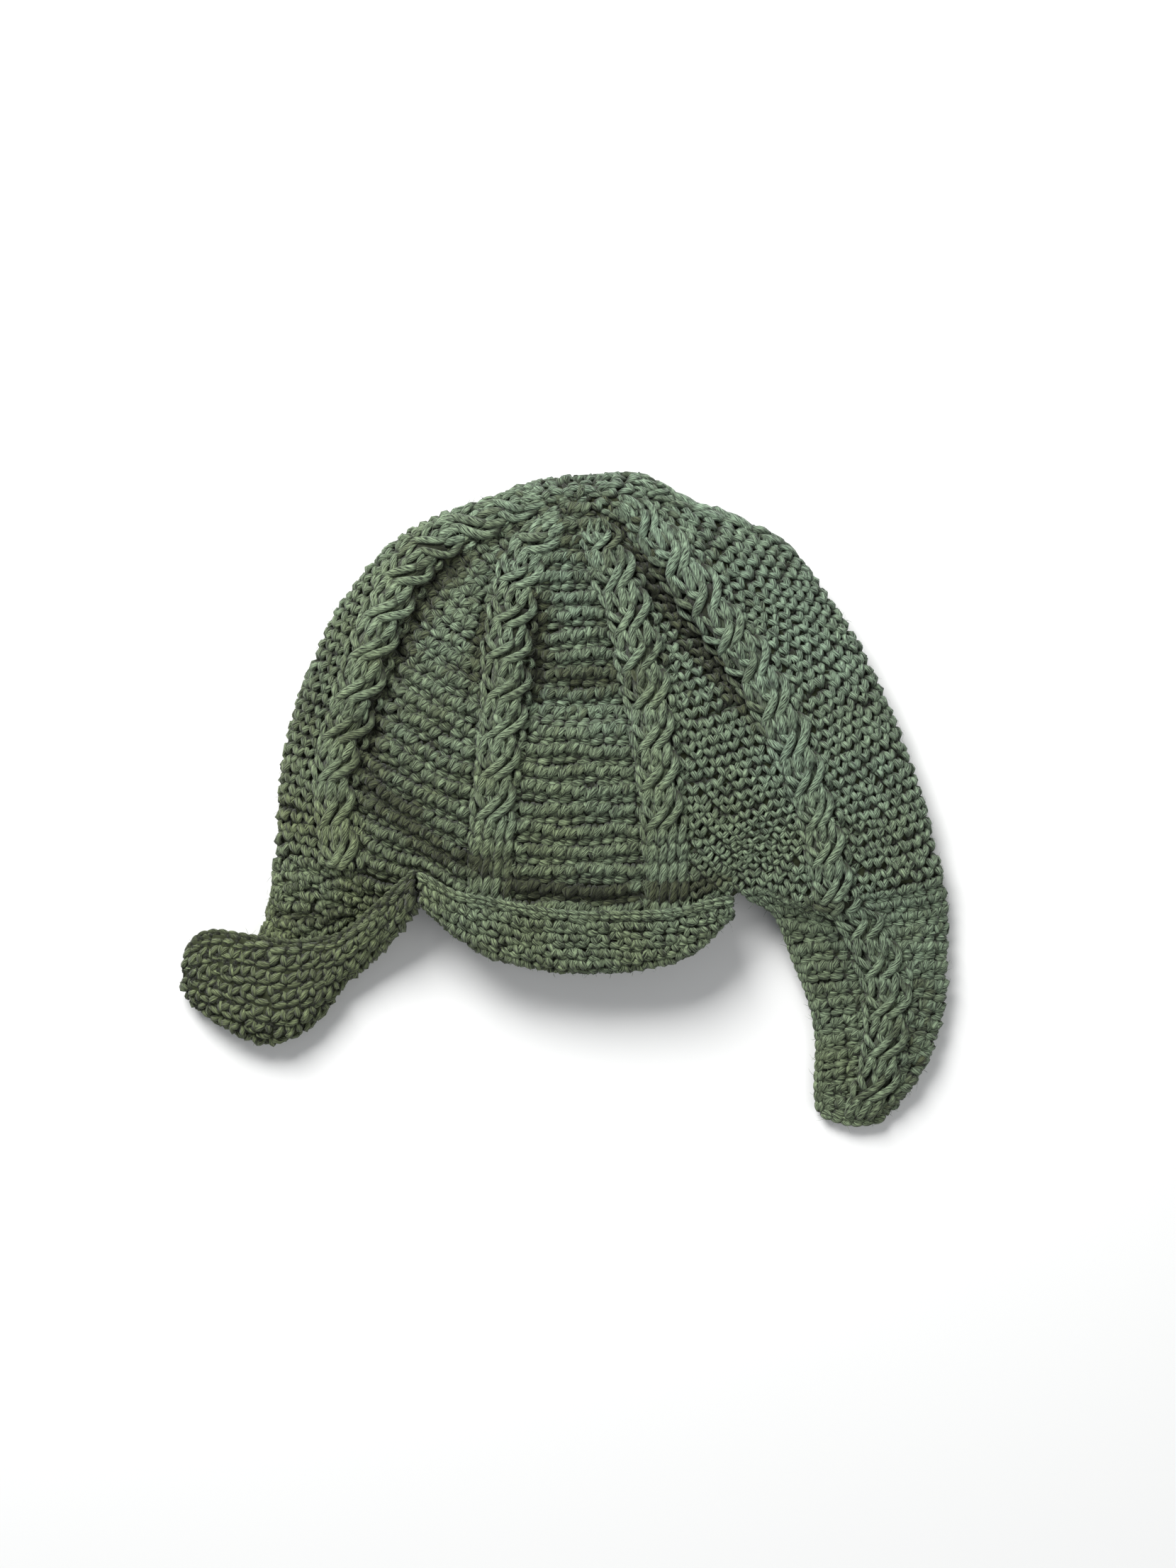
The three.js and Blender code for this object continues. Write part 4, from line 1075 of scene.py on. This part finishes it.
def yarn_material(name, lightness=1.0):
    material, tree, shader = new_material(
        name, Roughness=0.88, Specular_IOR_Level=0.25, Sheen_Weight=0.12, Sheen_Roughness=0.5)
    shade = node(tree, "ShaderNodeUVMap", uv_map="Shade").outputs[0]
    tone, high = node(tree, "ShaderNodeSeparateXYZ", {0: shade}).outputs[:2]
    grain = yarn_grain(tree)

    # Painted light: the yarn turns from olive towards the bottom and left to sage towards the top and
    # right, where light falls fully; the blotches are the dye's own uneven patches.
    place = node(tree, "ShaderNodeTexCoord").outputs["Object"]
    turned = node(tree, "ShaderNodeMapping", {"Vector": place, "Rotation": (0, 0, WARM_LINE)}).outputs[0]
    towards = rescaled(tree, node(tree, "ShaderNodeSeparateXYZ", {0: turned}).outputs[0], -0.12, 0.14)
    blotches = node(tree, "ShaderNodeTexNoise", {"Vector": place, "Scale": 38, "Detail": 2}).outputs["Fac"]
    warm = calculate(tree, "ADD", towards, calculate(tree, "MULTIPLY", blotches, 1.1))
    warm = node(tree, "ShaderNodeClamp", {0: calculate(tree, "SUBTRACT", warm, 0.55)}).outputs[0]
    base = mix_colours(tree, warm, colour(OLIVE, lightness), colour(SAGE, lightness))
    # Painted shade: where the tone is low, from the folds and the shades, the yarn turns brown.
    base = mix_colours(tree, rescaled(tree, tone, 0.3, 0.62), colour(PAINTED_FOLD_SHADE), base)

    spread = rescaled(tree, grain, 0.36, 0.64, 0.15, 1.75)
    bright = calculate(tree, "MULTIPLY", spread, calculate(tree, "ADD", tone, 0.28))
    bright = node(tree, "ShaderNodeCombineXYZ", {0: bright, 1: bright, 2: bright}).outputs[0]
    streaked = mix_colours(tree, 1.0, base, bright, "MULTIPLY")
    # Painted shade: where the Shade map's second value is low, the yarn takes the hollows' dark colour.
    final = mix_colours(tree, rescaled(tree, high, 0.12, 0.85), colour(PAINTED_HOLLOW_SHADE), streaked)
    bump = node(tree, "ShaderNodeBump", {"Strength": 0.9, "Distance": 0.0007, "Height": grain}).outputs[0]
    fill(tree, shader, {"Base Color": final, "Normal": bump})
    return material


def painted_shade_backing():
    """The cloth behind the stitches, painted dark as shade, with loops about the size of a stitch."""
    material, tree, shader = new_material("yarn_behind_painted_shade", Roughness=0.95, Specular_IOR_Level=0.1)
    place = node(tree, "ShaderNodeTexCoord").outputs["Object"]
    cells = node(tree, "ShaderNodeTexVoronoi", {"Vector": place, "Scale": 260}).outputs["Distance"]
    base = mix_colours(tree, cells, colour((66, 72, 52)), colour((34, 36, 24)))
    bump = node(tree, "ShaderNodeBump", {"Distance": 0.001, "Height": cells}).outputs[0]
    fill(tree, shader, {"Base Color": base, "Normal": bump})
    return material


MAIN_YARN = yarn_material("main_yarn")
# Painted light: the cables' yarn is the main yarn 8% lighter, for the light on the raised cables; the
# edgings' yarn is 2% darker.
CABLE_YARN = yarn_material("cable_yarn", 1.08)
EDGING_YARN = yarn_material("edging_yarn", 0.98)
# The cloth behind the stitches is painted dark: the shade seen between them.
BEHIND_PAINTED_SHADE = painted_shade_backing()


# The pieces

def lay_cloth(name, cad_node, surface, top, bottom, **steps):
    dress(cloth(name, surface, top, bottom, **steps), "main_yarn", BEHIND_PAINTED_SHADE, cad_node)


def lay_stitches(name, cad_node, *stitches, **more):
    dress(flap_stitches(*stitches, **more).build(name), "main_yarn", MAIN_YARN, cad_node)


def lay_edging(name, cad_node, chains, shaded=1.0):
    edging = Strands(6, shaded, 2.0)
    for parts in chains:
        chain(edging, *parts)
    dress(edging.build(name), "edging_yarn", EDGING_YARN, cad_node)


LETTERS = "abcdefgh"
lay_cloth("crown_cloth", "crown", crown, *BACKING, step=3, across_step=2)
for panel in range(CABLES):
    name = "crown_stitches_" + LETTERS[panel] + LETTERS[(panel + 1) % CABLES]
    dress(crown_panel_strands(panel).build(name), "main_yarn", MAIN_YARN, "crown")
for cable, letter in enumerate(LETTERS):
    strands = cable_strands(cable)
    dress(strands.build("cable_" + letter), "cable_yarn", CABLE_YARN, "crown_cable_" + letter)
lay_stitches("crown_inside_stitches", "crown", crown, 18, 10.8, -1, PLAIN_MOTIFS, 4,
             pitch=8.0, sink=raised, shaded=0.0)

# The peak, with its wrong side up
lay_cloth("peak_cloth", "front_peak", peak, -BACKING[1], -BACKING[0])
lay_stitches("peak_stitches", "front_peak", peak, 30, 4.7, -1, TURNED_LEGS, 6,
             turned=True, pitch=5.6, loose=0.09, shaded=0.0, hairs=1.4)
lay_stitches("peak_under_stitches", "front_peak", peak, 20, 7.0, 1, TURNED_LEGS, 4,
             turned=True, pitch=7.6, sink=raised, shaded=0.0)

# The left earflap, with its wrong side up
lay_cloth("left_flap_cloth", "earflap_left", left_flap, 0.8, 0.4)
# Painted light: the left flap's visible stitches are a little lighter in tone.
lay_stitches("left_flap_stitches", "earflap_left", left_flap, 23, 5.2, -1, TURNED_FAN, 6,
             turned=True, pitch=6.8, loose=0.15, ridge=0.5, hairs=1.0, lighter=0.06)
lay_stitches("left_flap_inner_stitches", "earflap_left", left_flap, 21, 6.2, 1, TURNED_LEGS, 4,
             turned=True, pitch=7.6, sink=raised)

# The right earflap
lay_cloth("right_flap_cloth", "earflap_right", right_flap, *BACKING)
lay_stitches("right_flap_stitches", "earflap_right", right_flap, 14, 7.4, 1, FINE_MOTIFS, 6,
             sink=under_flap_cable, hairs=1.4)
lay_stitches("right_flap_inner_stitches", "earflap_right", right_flap, 12, 8.6, -1, PLAIN_MOTIFS, 4,
             pitch=7.6, sink=raised, shaded=0.0)
dress(flap_cable(right_flap).build("right_flap_cable"), "cable_yarn", CABLE_YARN, "earflap_cable_right")

# The edgings
every = slice(None)
down = slice(2, None)
to_side = slice(0, 30)
lay_edging("edging_of_peak", "edging_peak", [(peak, (-1, every), (-3, every), -1, 0.6)], shaded=0.0)
lay_edging("edging_of_left_flap", "edging_left", [(left_flap, (-1, every), (-4, every), -1, 0.6)])
lay_edging("edging_of_right_flap", "edging_right", [
    (right_flap, (down, 0), (down, 2), 1, 0.9),
    (right_flap, (-1, to_side), (-3, to_side), 1, 0.9),
])

# Floor, light and camera
FLOOR_SIZE = 6.0
FLOOR_DOWN = 0.0004
bpy.ops.mesh.primitive_plane_add(size=FLOOR_SIZE, location=(0, 0, -FLOOR_DOWN))
floor = bpy.context.object
floor.name = "floor"
paper, _, _ = new_material("pale_floor", Base_Color=(0.83, 0.83, 0.82, 1), Roughness=0.9)
floor.data.materials.append(paper)


def area_light(name, place, size, power):
    """A square light that shines at the middle of the floor."""
    light = bpy.data.lights.new(name, "AREA")
    light.shape = "SQUARE"
    light.size = size
    light.energy = power
    item = bpy.data.objects.new(name, light)
    item.location = place
    x, y, z = place
    item.rotation_euler = (math.atan2(math.hypot(x, y), z), 0, math.atan2(-y, -x) - math.pi / 2)
    scene.collection.objects.link(item)


area_light("key_light", (-0.5, 1.0, 1.1), 0.8, 39)
area_light("fill_light", (0.9, -0.5, 1.4), 1.2, 7)
world = bpy.data.worlds.new("soft_world")
world.use_nodes = True
fill(world.node_tree, world.node_tree.nodes["Background"], {0: (0.93, 0.96, 1.0, 1), 1: 0.28})
scene.world = world

PHOTO_WIDTH, PHOTO_HEIGHT = 1659, 2212
PIXEL = 0.3  # millimetres of the hat that one pixel of the photograph shows
PHOTO_CENTRE = (796.5, 1129)  # the pixel above the tables' origin
CAMERA_HEIGHT = 1200.0
OUTLINE_HEIGHT = 12.0  # where the scale holds
FILM_WIDTH = 36
camera = bpy.data.cameras.new("camera")
camera.sensor_fit = "HORIZONTAL"
camera.sensor_width = FILM_WIDTH
camera.lens = FILM_WIDTH * (CAMERA_HEIGHT - OUTLINE_HEIGHT) / (PHOTO_WIDTH * PIXEL)
camera_object = bpy.data.objects.new("camera", camera)
aside = (PHOTO_WIDTH / 2 - PHOTO_CENTRE[0]) * PIXEL
upwards = (PHOTO_CENTRE[1] - PHOTO_HEIGHT / 2) * PIXEL
camera_object.location = (np.array([aside, upwards, CAMERA_HEIGHT]) + SHIFT) * MM
scene.collection.objects.link(camera_object)
scene.camera = camera_object
scene.view_settings.view_transform = "Standard"
